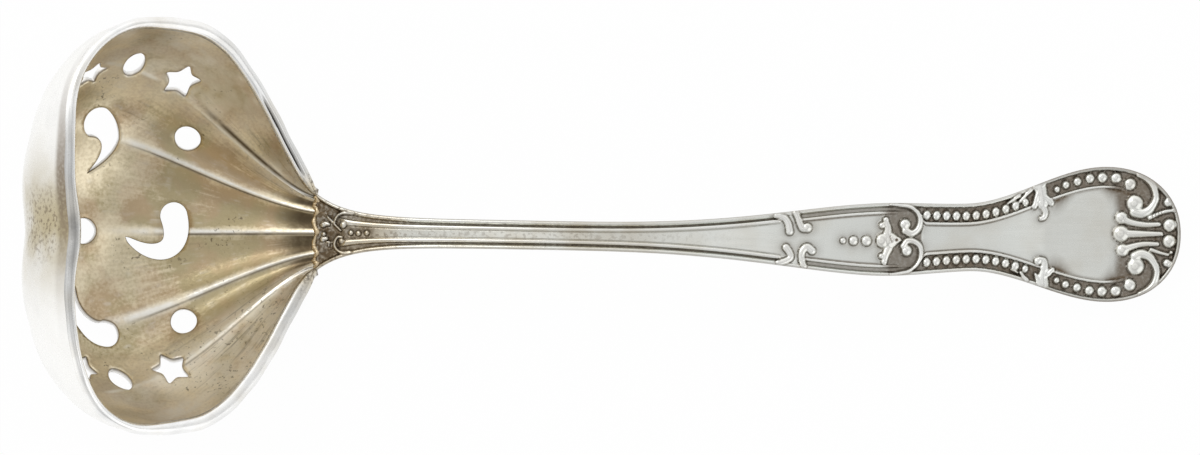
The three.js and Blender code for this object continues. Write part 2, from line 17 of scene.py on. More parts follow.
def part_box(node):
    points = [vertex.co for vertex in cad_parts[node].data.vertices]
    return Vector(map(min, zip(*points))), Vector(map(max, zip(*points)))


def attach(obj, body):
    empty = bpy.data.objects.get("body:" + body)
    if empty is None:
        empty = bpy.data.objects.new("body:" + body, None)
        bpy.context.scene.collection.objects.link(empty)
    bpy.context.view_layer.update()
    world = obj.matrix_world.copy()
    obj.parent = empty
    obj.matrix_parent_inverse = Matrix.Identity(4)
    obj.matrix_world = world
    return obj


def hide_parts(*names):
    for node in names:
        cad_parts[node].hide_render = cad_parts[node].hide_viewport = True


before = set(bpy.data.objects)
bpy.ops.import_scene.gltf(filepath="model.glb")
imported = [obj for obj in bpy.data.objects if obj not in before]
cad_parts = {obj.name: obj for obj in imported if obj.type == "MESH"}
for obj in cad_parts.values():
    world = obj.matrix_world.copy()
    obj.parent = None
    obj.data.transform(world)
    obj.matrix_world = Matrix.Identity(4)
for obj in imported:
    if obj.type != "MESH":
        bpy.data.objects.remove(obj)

log = logging.getLogger("sifter_spoon")

Array = np.ndarray
Point = tuple[float, float]
Colour = tuple[float, float, float]

MM = 0.001
SHARP_ANGLE = math.radians(60.0)


def smooth(x: Array) -> Array:
    """Smooth step from 0 to 1: 3x squared less 2x cubed, with x held between 0 and 1."""
    held = np.clip(x, 0.0, 1.0)
    return held * held * (3.0 - 2.0 * held)


def rise(x: Array, start: Array, run: float) -> Array:
    """Smooth step from 0 at a start to 1 a run further on."""
    return smooth((x - start) / run)


def fall(x: Array, end: Array, run: float) -> Array:
    """Smooth step from 1, a run before an end, to 0 at the end."""
    return smooth((end - x) / run)


def bell(x: Array, middle: Array, spread: Array) -> Array:
    """Bell curve, 1 at the middle: e to the power of minus the distance in spreads, squared."""
    return np.exp(-(((x - middle) / spread)**2))


def lerp(first: Array, last: Array, share: Array) -> Array:
    """Straight mix of two values by a share."""
    return first + (last - first) * share


def dome(x: Array) -> Array:
    """Half-round profile: the root of 1 less x squared, and 0 outside -1 to 1."""
    return np.sqrt(np.clip(1.0 - x * x, 0.0, None))


def curve_through(points: Array, steps: int) -> Array:
    """Smooth curve through points, as a Catmull-Rom spline.

    Args:
        points: The points, one row each.
        steps: Samples between one point and the next.

    Returns:
        The samples, one row each, from the first point to the last.
    """
    if len(points) < 2:
        return points
    ends = np.vstack([2 * points[0] - points[1], points, 2 * points[-1] - points[-2]])
    p0, p1, p2, p3 = (ends[k:len(ends) - 3 + k, None, :] for k in range(4))
    x = (np.arange(steps) / steps)[None, :, None]
    bends = (2 * p0 - 5 * p1 + 4 * p2 - p3) * x**2 + (3 * p1 - p0 - 3 * p2 + p3) * x**3
    samples = 0.5 * (2 * p1 + (p2 - p0) * x + bends)
    return np.vstack([samples.reshape(-1, points.shape[1]), points[-1:]])


def is_inside(points: Array, outline: Array) -> Array:
    """Tells which points lie inside a closed outline, by counting the edges to their right.

    Args:
        points: Points in the plane, one row each.
        outline: Corners of the outline, one row each.

    Returns:
        True for each point inside.
    """
    x, y = points[:, 0, None], points[:, 1, None]
    x1, y1 = outline[:, 0], outline[:, 1]
    x2, y2 = np.roll(x1, -1), np.roll(y1, -1)
    spans = (y1 > y) != (y2 > y)
    tall = np.where(y2 == y1, 1.0, y2 - y1)
    crossing = x < x1 + (y - y1) * (x2 - x1) / tall
    return (spans & crossing).sum(axis=1) % 2 == 1


def outset(outline: Array, distance: float) -> Array:
    """Closed outline moved outwards along its corner normals.

    Args:
        outline: Corners of the outline, counter-clockwise.
        distance: How far each corner moves.

    Returns:
        The moved corners.
    """
    along = np.roll(outline, -1, axis=0) - np.roll(outline, 1, axis=0)
    along /= np.linalg.norm(along, axis=1, keepdims=True)
    return outline + distance * np.stack([along[:, 1], -along[:, 0]], axis=1)


@dataclass
class Surface:
    """Points and faces of one closed piece, with the shades of wear kept at its points."""

    points: Array
    faces: list[list[int]]
    finish_index: Array | None = None
    shades: dict[str, Array] = field(default_factory=dict)

    def piece(self, name: str, node: str, slot: str,
              finishes: list[bpy.types.Material]) -> bpy.types.Object:
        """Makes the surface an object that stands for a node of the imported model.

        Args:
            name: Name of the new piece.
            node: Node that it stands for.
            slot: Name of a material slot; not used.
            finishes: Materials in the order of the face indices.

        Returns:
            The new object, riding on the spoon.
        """
        mesh = bpy.data.meshes.new(name)
        mesh.from_pydata((self.points * MM).tolist(), [], self.faces)
        mesh.polygons.foreach_set("use_smooth", np.ones(len(mesh.polygons), dtype=bool))
        for finish in finishes:
            mesh.materials.append(finish)
        if self.finish_index is not None:
            mesh.polygons.foreach_set("material_index", self.finish_index.astype(np.int32))
        for shade, values in self.shades.items():
            attribute = mesh.attributes.new(shade, "FLOAT", "POINT")
            attribute.data.foreach_set("value", values.astype(np.float32))
        mesh.validate()
        mesh.set_sharp_from_angle(angle=SHARP_ANGLE)
        mesh.update()
        made = bpy.data.objects.new(name, mesh)
        bpy.context.scene.collection.objects.link(made)
        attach(made, "root")
        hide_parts(node)
        log.info("%s: %d points, %d faces", name, len(mesh.vertices), len(mesh.polygons))
        return made


def ring_faces(rows: int, ring: int, first: int = 0) -> list[list[int]]:
    """Faces of a closed bar: quads between neighbouring rings and one flat cap at each end.

    Args:
        rows: Number of rings.
        ring: Points in each ring.
        first: Index of the first point.

    Returns:
        The faces, each a list of point indices.
    """
    index = first + np.arange(rows * ring).reshape(rows, ring)
    beside = np.roll(index, -1, axis=1)
    quads = np.stack([index[:-1], index[1:], beside[1:], beside[:-1]], axis=-1).reshape(-1, 4)
    return quads.tolist() + [index[0].tolist(), index[-1][::-1].tolist()]


STAR_STRETCH = 1.3
LEAF_POWER = 0.62


class Hole(Enum):
    """Kinds of piercing in the bowl, each with its two sizes in millimetres.

    They are a star's outer and inner reach, a round hole's radius twice, and a leaf's length and width. A
    comma keeps its own sizes.
    """

    COMMA = (0.0, 0.0)
    STAR = (2.4, 1.3)
    SMALL_STAR = (2.0, 1.05)
    ROUND = (1.7, 1.7)
    LEAF = (4.6, 2.6)


@dataclass(frozen=True)
class Piercing:
    """One piercing: its place on the bowl and its outline there, X to the front and Y across.

    The phase turns a star or a leaf. A comma has a round head and a tail along a curve from the head
    through three guide points.
    """

    kind: Hole
    place: Point
    phase: float = 0.0
    head: float = 1.0
    taper: float = 1.0
    tail: tuple[Point, Point, Point] = ((0.0, 0.0), (0.0, 0.0), (0.0, 0.0))

    def outline(self) -> Array:
        """Outline of the hole, by its kind.

        Returns:
            Its corners, counter-clockwise.
        """
        if self.kind is Hole.COMMA:
            return self._comma()
        if self.kind is Hole.LEAF:
            return self._leaf(*self.kind.value)
        if self.kind is Hole.ROUND:
            turn = np.linspace(0.0, 2 * np.pi, 56, endpoint=False)
            return self.kind.value[0] * np.stack([np.cos(turn), np.sin(turn)], axis=1)
        return self._star(*self.kind.value)

    def _star(self, radius: float, core: float) -> Array:
        """Star of five points, wider across, with slightly rounded corners at two reaches in turn.

        Args:
            radius: Reach of the points.
            core: Reach of the corners between them.

        Returns:
            Corners of the star.
        """
        corner = np.arange(11)
        turn = self.phase + corner * np.pi / 5
        reach = np.where(corner % 2 == 0, radius, core)
        tips = np.stack([reach * np.cos(turn), STAR_STRETCH * reach * np.sin(turn)], axis=1)
        share = (np.arange(8) / 8)[None, :, None]
        sides = lerp(tips[:-1, None], tips[1:, None], share).reshape(-1, 2)
        for _ in range(4):
            sides = (np.roll(sides, 1, axis=0) + 2 * sides + np.roll(sides, -1, axis=0)) / 4
        return sides

    def _leaf(self, length: float, width: float) -> Array:
        """Leaf with blunt ends between two parabolas to a power, across the bowl and turned by the phase.

        Args:
            length: From tip to tip.
            width: The leaf's width at its middle.

        Returns:
            Corners of the leaf.
        """
        x = np.linspace(0.0, 1.0, 24, endpoint=False)
        bulge = 0.5 * width * (4 * x * (1 - x))**LEAF_POWER
        rising = np.stack([bulge, (x - 0.5) * length], axis=1)
        cos, sin = math.cos(self.phase), math.sin(self.phase)
        return np.vstack([rising, -rising]) @ np.array([[cos, sin], [-sin, cos]])

    def _comma(self) -> Array:
        """Comma: half its width is the head times (1 - x) to a power along the tail's cubic curve.

        Returns:
            Corners of the comma, from the tip of its tail.
        """
        guide = np.array([(0.0, 0.0), *self.tail])
        x = np.linspace(0.0, 0.97, 44)[:, None]
        weights = np.hstack([(1 - x)**3, 3 * x * (1 - x)**2, 3 * x**2 * (1 - x), x**3])
        spine = weights @ guide
        steps = np.hstack([(1 - x)**2, 2 * x * (1 - x), x**2])
        along = steps @ np.diff(guide, axis=0)
        along /= np.linalg.norm(along, axis=1, keepdims=True)
        left = np.stack([-along[:, 1], along[:, 0]], axis=1)
        half = self.head * (1 - x)**self.taper
        turn = math.atan2(along[0, 1], along[0, 0]) + np.pi * np.linspace(0.5, 1.5, 26)[1:-1]
        cap = self.head * np.stack([np.cos(turn), np.sin(turn)], axis=1)
        return np.vstack([guide[-1:], (spine + half * left)[::-1], cap, spine - half * left])


PIERCINGS = (
    Piercing(Hole.COMMA, (0.066, 0.289), head=1.75, taper=0.55,
             tail=((-1.9, -4.7), (2.0, -6.3), (5.95, -3.4))),
    Piercing(Hole.COMMA, (0.376, 0.571), head=2.1, taper=1.0,
             tail=((-2.6, -0.6), (-4.0, -3.6), (-1.0, -6.9))),
    Piercing(Hole.COMMA, (-0.37, 0.54), head=1.85, taper=0.6,
             tail=((2.4, 0.4), (3.9, 4.4), (1.9, 7.0))),
    Piercing(Hole.STAR, (0.737, 0.475), phase=-0.1),
    Piercing(Hole.STAR, (-0.661, 0.463), phase=0.5),
    Piercing(Hole.SMALL_STAR, (0.595, 0.722)),
    Piercing(Hole.SMALL_STAR, (-0.507, 0.689)),
    Piercing(Hole.ROUND, (0.492, 0.32)),
    Piercing(Hole.ROUND, (-0.472, 0.322)),
    Piercing(Hole.ROUND, (0.0, 0.562)),
    Piercing(Hole.LEAF, (0.689, 0.626), phase=-0.26),
    Piercing(Hole.LEAF, (-0.608, 0.61), phase=0.1),
)


@dataclass(frozen=True)
class Crease:
    """Wear on one crease between two flutes.

    The bare metal runs from the neck to its reach along the bowl, and goes from narrow to wide on the way.
    A painted shade line lies on one side of it near the neck, up (1) or down (-1) across the bowl.
    """

    reach: float
    narrow: float
    wide: float
    bare: float
    dark: float
    side: int
    spread: float


# Dark, side and spread place a painted shade line beside each crease.
CREASES = (
    Crease(reach=0.6, narrow=0.4, wide=1.2, bare=1.0, dark=0.6, side=-1, spread=0.16),
    Crease(reach=0.54, narrow=0.22, wide=0.8, bare=0.95, dark=0.75, side=-1, spread=0.16),
    Crease(reach=0.46, narrow=0.2, wide=0.45, bare=0.95, dark=0.95, side=-1, spread=0.15),
    Crease(reach=0.54, narrow=0.18, wide=0.55, bare=0.95, dark=0.95, side=-1, spread=0.15),
    Crease(reach=0.47, narrow=0.22, wide=0.36, bare=0.95, dark=1.0, side=1, spread=0.42),
)


@dataclass(frozen=True)
class Scuff:
    """Scuffed and pitted spot of the lining: its place on the bowl and its reach."""

    place: Point
    reach: float


SCUFFS = (
    Scuff((0.465, 0.473), 0.06),
    Scuff((0.72, 0.33), 0.07),
    Scuff((0.85, 0.21), 0.05),
    Scuff((-0.705, 0.207), 0.07),
    Scuff((-0.77, 0.37), 0.06),
    Scuff((-0.045, 0.217), 0.04),
)


@dataclass
class Bowl:
    """The bowl: a tilted shell that fans out from the neck in six flutes.

    Places on it are g, from -1 to 1 across with the flutes, and t, from 0 at the neck to 1 at the front.
    The real bowl is slightly fuller on one side, which the lean adds, and reaches further out at the
    front edge there.
    """

    tilt: float = math.radians(42.0)
    length: float = 40.9
    shoulder: float = 26.6
    half_width: float = 25.6
    neck_half: float = 4.7
    bowl_depth: float = 20.3
    wall: float = 0.9
    wear: float = 0.3
    notch: float = 0.9
    notch_share: float = 0.16
    flutes: int = 6
    flute_height: float = 1.5
    flute_start: float = 0.25
    flute_growth: float = 0.6
    flute_fade: float = 0.8
    crease_start: float = 0.04
    crease_softening: float = 0.15
    flank_start: float = 1.45
    flank_power: float = 3.4
    fan_crowding: float = 1.1
    fan_fade: float = 1.5
    front_angle: float = math.radians(70.0)
    roundness: float = 2.4
    rear_power: float = 3.2
    front_power: float = 4.6
    front_fade: float = 0.6
    lean: float = 0.65
    lean_start: float = 6.0
    lean_run: float = 10.0
    forward: float = 1.2
    forward_start: float = 16.0
    forward_run: float = 14.0
    forward_at: float = 18.5
    forward_spread: float = 6.0
    forward_fade: float = 4.0
    columns_per_flute: int = 40
    crowding: float = 0.6
    rows: int = 124
    edge_round: float = 0.12
    clear_of_holes: float = 0.3
    hole_reach: float = 10.0
    neck_x: float = 0.0
    neck_height: float = 0.0

    def __post_init__(self) -> None:
        """Finds the deepest point of the profile and lifts the neck until the worn underside is at 0."""
        t = np.linspace(0.0, 1.0, 400)
        self.full_depth = float(self.lengthwise(t, self.front_power).max())
        g, t = np.meshgrid(np.linspace(-0.5, 0.5, 121), np.linspace(0.0, 0.8, 121))
        lowest = self.outside(g, t)[..., 2].min()
        self.neck_height = float(-lowest - self.wear)

    def flank(self, t: Array) -> tuple[Array, Array]:
        """Side edge in the rim plane: u grows with t, v widens by 1 less (1 - t to a power) to a power."""
        widening = 1 - (1 - t**self.flank_start)**self.flank_power
        return self.shoulder * t, lerp(self.neck_half, self.half_width, widening)

    def flank_place(self, v: float) -> float:
        """Place t along the flank at which it is a distance v from the middle."""
        left = 1 - (v - self.neck_half) / (self.half_width - self.neck_half)
        return (1 - left**(1 / self.flank_power))**(1 / self.flank_start)

    def front(self, f: Array) -> tuple[Array, Array]:
        """Front edge in the rim plane: a flattened arc with a small notch in the middle.

        Args:
            f: Places along the edge, from -1 to 1.

        Returns:
            Distances u to the front and v across.
        """
        swell = np.sqrt(np.clip(1 - np.abs(f)**self.roundness, 0, None))
        notch = self.notch * bell(f, 0.0, self.notch_share)
        v = self.half_width * np.sin(self.front_angle * f) / math.sin(self.front_angle)
        return lerp(self.shoulder, self.length, swell) - notch, v

    def fan(self, g: Array, t: Array) -> Array:
        """Fans the flutes out: 1 less (1 - g) to a power, which crowds them to the sides near the neck."""
        power = 1 + self.fan_crowding * (1 - t**self.fan_fade)
        return np.sign(g) * (1 - (1 - np.abs(g))**power)

    def lengthwise(self, t: Array, power: Array) -> Array:
        """Depth along the bowl: a quick fall from the neck times a round front wall."""
        return (1 - (1 - t)**self.rear_power) * np.sqrt(np.clip(1 - t**power, 0, None))

    def depth(self, f: Array, t: Array) -> Array:
        """Depth of the smooth bowl: round across, times the lengthwise depth.

        Args:
            f: Places across, fanned out.
            t: Places along.

        Returns:
            Depths below the rim plane.
        """
        across = np.sqrt(np.clip(1 - np.abs(f)**self.roundness, 0, None))
        power = self.front_power * (1 - self.front_fade * f * f)
        return self.bowl_depth * across * self.lengthwise(t, power) / self.full_depth

    def flute(self, g: Array, t: Array) -> Array:
        """Swell of the flutes: a rectified sine across, whose creases soften and fade to the front.

        Args:
            g: Places across.
            t: Places along.

        Returns:
            How far each place is pushed out.
        """
        soft = self.crease_start + self.crease_softening * t
        wave = np.sin(self.flutes * np.pi * (g + 1) / 2)
        swell = self.flute_height * (np.hypot(wave, soft) - soft)
        narrowing = 1 - (1 - t)**4 * np.abs(g)**3
        growth = (self.flute_start + t)**self.flute_growth
        return swell * narrowing * growth * np.clip(1 - t, 0, None)**self.flute_fade

    def from_rim_plane(self, u: Array, v: Array, w: Array) -> Array:
        """Turns places in the rim plane into the spoon's axes, with the lean and the forward corner added.

        Args:
            u: Distances to the front.
            v: Distances across.
            w: Heights out of the bowl.

        Returns:
            The points in the spoon's axes.
        """
        cos, sin = math.cos(self.tilt), math.sin(self.tilt)
        corner = bell(v, self.forward_at, self.forward_spread) * rise(u, self.forward_start, self.forward_run)
        u = u + self.forward * corner * np.exp(np.minimum(w, 0.0) / self.forward_fade)
        x = self.neck_x - u * cos + w * sin
        fuller = self.lean * rise(u, self.lean_start, self.lean_run) * (v / self.half_width)**2
        return np.stack([x, v + fuller, self.neck_height + u * sin + w * cos], axis=-1)

    def inside(self, g: Array, t: Array) -> Array:
        """Inner face: the edge curves mixed by t, at the bowl's depth plus the flutes' swell.

        Args:
            g: Places across.
            t: Places along.

        Returns:
            The points in the spoon's axes.
        """
        f = self.fan(g, t)
        side_u, side_v = self.flank(t)
        edge_u, edge_v = self.front(f)
        u = side_u + t * (edge_u - self.shoulder)
        v = f * side_v + t * (edge_v - f * self.half_width)
        return self.from_rim_plane(u, v, -self.depth(f, t) - self.flute(g, t))

    def directions(self, g: Array, t: Array) -> tuple[Array, Array, Array]:
        """Unit directions on the inner face, by small differences.

        Args:
            g: Places across.
            t: Places along.

        Returns:
            Directions along t, across, and out of the bowl.
        """
        step = 1e-3
        g_in = np.clip(g, 2 * step - 1, 1 - 2 * step)
        t_in = np.clip(t, 2 * step, 1 - 2 * step)
        across = self.inside(g_in + step, t_in) - self.inside(g_in - step, t_in)
        along = self.inside(g_in, t_in + step) - self.inside(g_in, t_in - step)
        out = np.cross(along, across)
        out /= np.linalg.norm(out, axis=-1, keepdims=True)
        along /= np.linalg.norm(along, axis=-1, keepdims=True)
        return along, np.cross(out, along), out

    def outside(self, g: Array, t: Array) -> Array:
        """Outer face: the inner face moved out by the wall."""
        return self.inside(g, t) + self.wall * self.directions(g, t)[2]

    def locate(self, place: Point, outline: Array) -> Array:
        """Places on the bowl that an outline, held flat over one place, falls on.

        Args:
            place: Where the outline's origin lies.
            outline: Corners of the outline in millimetres.

        Returns:
            The place g, t of each corner, found by Newton's method.
        """
        g0, t0 = (np.array(value) for value in place)
        along, across, _ = self.directions(g0, t0)
        centre = self.inside(g0, t0)
        axes = np.stack([along, across], axis=1)
        places = np.tile(np.array(place), (len(outline), 1))
        step = 1e-4
        longest_move = 0.06
        margin = 0.005
        for _ in range(24):
            g, t = places[:, 0], places[:, 1]
            miss = outline - (self.inside(g, t) - centre) @ axes
            by_g = (self.inside(g + step, t) - self.inside(g - step, t)) @ axes / (2 * step)
            by_t = (self.inside(g, t + step) - self.inside(g, t - step)) @ axes / (2 * step)
            jacobian = np.stack([by_g, by_t], axis=-1)
            move = np.linalg.solve(jacobian, miss[..., None])[..., 0]
            places = places + np.clip(move, -longest_move, longest_move)
            places = np.clip(places, [margin - 1, margin], [1 - margin, 1 - margin])
        return places

    def seen_from(self, place: Point, points: Array) -> tuple[Array, Array]:
        """Points as seen square on over one place of the bowl.

        Args:
            place: The place looked at.
            points: Points in the spoon's axes.

        Returns:
            Their flat coordinates, and their distances from the place.
        """
        g0, t0 = (np.array(value) for value in place)
        along, across, _ = self.directions(g0, t0)
        offset = points - self.inside(g0, t0)
        return offset @ np.stack([along, across], axis=1), np.linalg.norm(offset, axis=1)

    def grid(self) -> Array:
        """Grid of places, closest together at the creases and at the front edge.

        Returns:
            The places g and t, one row each.
        """
        step = np.arange(self.columns_per_flute) / self.columns_per_flute
        share = (1 - np.cos(np.pi * step)) / 2
        share = self.crowding * share + (1 - self.crowding) * step
        first = np.arange(self.flutes)[:, None]
        columns = np.append((2 * (first + share) / self.flutes - 1).ravel(), 1.0)
        rows = np.sin(np.linspace(0.0, np.pi / 2, self.rows))
        g, t = np.meshgrid(columns, rows)
        return np.stack([g.ravel(), t.ravel()], axis=1)

    def sheet(self) -> tuple[Array, Array, Array]:
        """Pierced sheet as places and triangles.

        Returns:
            The places g and t, the triangles, and how far each place is sunk at the edge of a hole.
        """
        places = self.grid()
        points = self.inside(places[:, 0], places[:, 1])
        keep = np.ones(len(places), dtype=bool)
        loops = []
        for piercing in PIERCINGS:
            outline = piercing.outline()
            flat, far = self.seen_from(piercing.place, points)
            near = np.flatnonzero(far < self.hole_reach)
            keep[near[is_inside(flat[near], outset(outline, self.clear_of_holes))]] = False
            loops.append(self.locate(piercing.place, outline))
            loops.append(self.locate(piercing.place, outset(outline, self.edge_round)))
        kept = places[keep]
        sunk = [np.zeros(len(kept))]
        links = []
        first = len(kept)
        for index, loop in enumerate(loops):
            corner = np.arange(len(loop))
            links.append(np.stack([first + corner, first + np.roll(corner, -1)], axis=1))
            sunk.append(np.full(len(loop), self.edge_round if index % 2 == 0 else 0.0))
            first += len(loop)
        places = np.vstack([kept, *loops])
        plan = places * [self.half_width, self.length]
        tolerance = 1e-6
        made = geometry.delaunay_2d_cdt(plan.tolist(), np.vstack(links).tolist(), [], 0, tolerance, True)
        source = np.array([ids[0] for ids in made[3]])
        triangles = source[np.array(made[2])]
        middle = places[triangles].mean(axis=1)
        points = self.inside(middle[:, 0], middle[:, 1])
        solid = np.ones(len(triangles), dtype=bool)
        for piercing in PIERCINGS:
            flat, far = self.seen_from(piercing.place, points)
            near = np.flatnonzero(far < self.hole_reach)
            solid[near[is_inside(flat[near], piercing.outline())]] = False
        return places, triangles[solid], np.concatenate(sunk)

    def from_crease(self, g: Array, t: Array) -> tuple[Array, Array]:
        """Nearest crease between two flutes.

        Args:
            g: Places across.
            t: Places along.

        Returns:
            The crease's number from 0, and the distance up from it across the bowl in millimetres.
        """
        width = 2.0 / self.flutes
        number = np.clip(np.round((g + 1) / width), 1, self.flutes - 1).astype(int)
        step = 1e-3
        g_in = np.clip(g, 2 * step - 1, 1 - 2 * step)
        across = self.inside(g_in + step, t) - self.inside(g_in - step, t)
        speed = np.linalg.norm(across, axis=1) / (2 * step)
        return number - 1, (g - number * width + 1) * speed

    def lining_shades(self, g: Array, t: Array, sunk: Array) -> dict[str, Array]:
        """Wear of the lining: bare creases, painted shade and highlights, brown flutes, lighter and pitted
        flanks.

        Args:
            g: Places across.
            t: Places along.
            sunk: How far each place is sunk at the edge of a hole.

        Returns:
            The shades from 0 to 1 at each place.
        """
        number, up = self.from_crease(g, t)
        wear = np.array([astuple(crease) for crease in CREASES])
        reach, narrow, wide, bare, dark, side, spread = wear[number].T
        half = lerp(narrow, wide, np.clip(t / reach, 0, 1))
        aside = np.abs(g)
        away = np.abs(up)
        crease = bare * bell(up, 0.0, half) * fall(t, reach + 0.06, 0.22)
        corner = 0.9 * rise(aside, 0.54, 0.12) * fall(t, 0.22, 0.12)
        low_flank = rise(-g, 0.5, 0.16) * rise(t, 0.08, 0.1) * fall(t, 0.62, 0.2)
        # Painted highlight: a light band inside the bowl near the top and bottom edges.
        painted_brow_highlight = 0.7 * (rise(aside, 0.84, 0.05) * fall(aside, 0.97, 0.04))
        painted_brow_highlight = painted_brow_highlight * rise(t, 0.42, 0.12) * fall(t, 0.86, 0.12)
        # Lighter gilding on both flanks, partly a painted brightening in place of light on them.
        pale_and_lit_flank = rise(aside, 0.5, 0.2) * rise(t, 0.16, 0.2)
        # Painted highlight along the folded line of the outer creases towards the front.
        outer_crease = (number == 0) | (number == self.flutes - 2)
        painted_fold_highlight = bell(up, 0.0, 0.5) * outer_crease * rise(t, 0.49, 0.05) * fall(t, 0.75, 0.05)
        # The worn shade holds real wear and the painted highlights above.
        worn = np.maximum.reduce([crease, corner, 0.6 * low_flank, painted_brow_highlight, 0.42 * pale_and_lit_flank, painted_fold_highlight])
        # Painted shade: a dark line on the shaded side of each crease's ridge, near the neck.
        beside = dark * bell(side * up - 0.6 * half, spread, spread) * fall(t, reach - 0.04, 0.16)
        # Painted shade in the hollow ends of the flutes by the neck.
        painted_pocket_shade = fall(t, 0.09, 0.07) * rise(away, 0.25, 0.4) * fall(aside, 0.62, 0.06)
        hole_edge = np.where(sunk > 0, 0.75, 0.0)
        # Brown stain in the middle of each flute, partly painted shade that dulls highlights in these
        # hollows.
        flute_middle_stain_and_shade = rise(away, 0.4 * half, 1.1) * (1 - 0.5 * rise(aside, 0.45, 0.25))
        near_neck = 0.55 * fall(t, 0.3, 0.2) * rise(aside, 0.3, 0.3)
        middle = np.array([scuff.place for scuff in SCUFFS])
        size = np.array([scuff.reach for scuff in SCUFFS])
        from_scuff = np.hypot(g[:, None] - middle[:, 0], t[:, None] - middle[:, 1])
        scuffed = bell(from_scuff, 0.0, size).max(axis=1)
        return {
            "worn": worn,
            "patina": np.maximum.reduce([beside, painted_pocket_shade, hole_edge]),
            "stain": fall(t, 0.66, 0.46) * flute_middle_stain_and_shade,
            "pitted": np.maximum.reduce([low_flank, near_neck, scuffed]),
            "across": g,
            "along": t,
            "polish_and_painted_light": pale_and_lit_flank,
        }

    def sheet_shades(self, points: Array, t: Array, sunk: Array) -> dict[str, Array]:
        """Bare outside: painted highlights at the front and on the holes' walls, stained below the rim.

        Painted shade lies along the outside under the rim and along the neck.

        Args:
            points: The places on the outside.
            t: The same places along the bowl.
            sunk: How far each place is sunk at the edge of a hole.

        Returns:
            The shades from 0 to 1 at each place.
        """
        stain = 0.95 * bell(points[:, 1], 1.0, 7.0) * rise(t, 0.865, 0.11)
        # Painted shade: a dark line on the outside just under the rim wire.
        edge = 0.85 * bell(points[:, 1], 6.0, 11.0) * rise(t, 0.9972, 0.0018)
        # Painted shade on the neck edge, which would otherwise show bright by the handle's root.
        neck = 0.95 * fall(t, 0.03, 0.02)
        zero = np.zeros_like(t)
        return {
            "worn": zero,
            "patina": np.maximum(edge, neck),
            "stain": stain,
            "pitted": zero,
            "across": zero,
            "along": zero,
            # Painted highlight: the front wall near white where unstained, and the holes' walls white at
            # their outer ends.
            "polish_and_painted_light": np.where(sunk > 0, 1.0, rise(t, 0.55, 0.2) * (1 - stain)),
        }

    def surface(self) -> Surface:
        """Closed shell: the inner face, the outer face, and walls along every edge between them.

        Returns:
            The bowl, with the lining as its first finish and the bare sheet as its second.
        """
        places, triangles, sunk = self.sheet()
        g, t = places[:, 0], places[:, 1]
        out = self.directions(g, t)[2]
        inner = self.inside(g, t) + sunk[:, None] * out
        outer = self.inside(g, t) + (self.wall - sunk[:, None]) * out
        outer[:, 2] = np.maximum(outer[:, 2], 0.0)
        count = len(places)
        edges = np.vstack([triangles[:, [0, 1]], triangles[:, [1, 2]], triangles[:, [2, 0]]])
        key = edges.min(axis=1) * count + edges.max(axis=1)
        _, back, uses = np.unique(key, return_inverse=True, return_counts=True)
        a, b = edges[uses[back] == 1].T
        walls = np.stack([b, a, a + count, b + count], axis=1)
        used = np.unique(np.concatenate([triangles.ravel(), triangles.ravel() + count]))
        renumber = np.zeros(2 * count, dtype=int)
        renumber[used] = np.arange(len(used))
        faces = [*renumber[triangles].tolist(), *renumber[triangles[:, ::-1] + count].tolist(),
                 *renumber[walls].tolist()]
        finish = np.ones(len(faces), dtype=int)
        finish[:len(triangles)] = 0
        lining = self.lining_shades(g, t, sunk)
        bare = self.sheet_shades(outer, t, sunk)
        shades = {name: np.concatenate([lining[name], bare[name]])[used] for name in lining}
        return Surface(np.vstack([inner, outer])[used], faces, finish, shades)


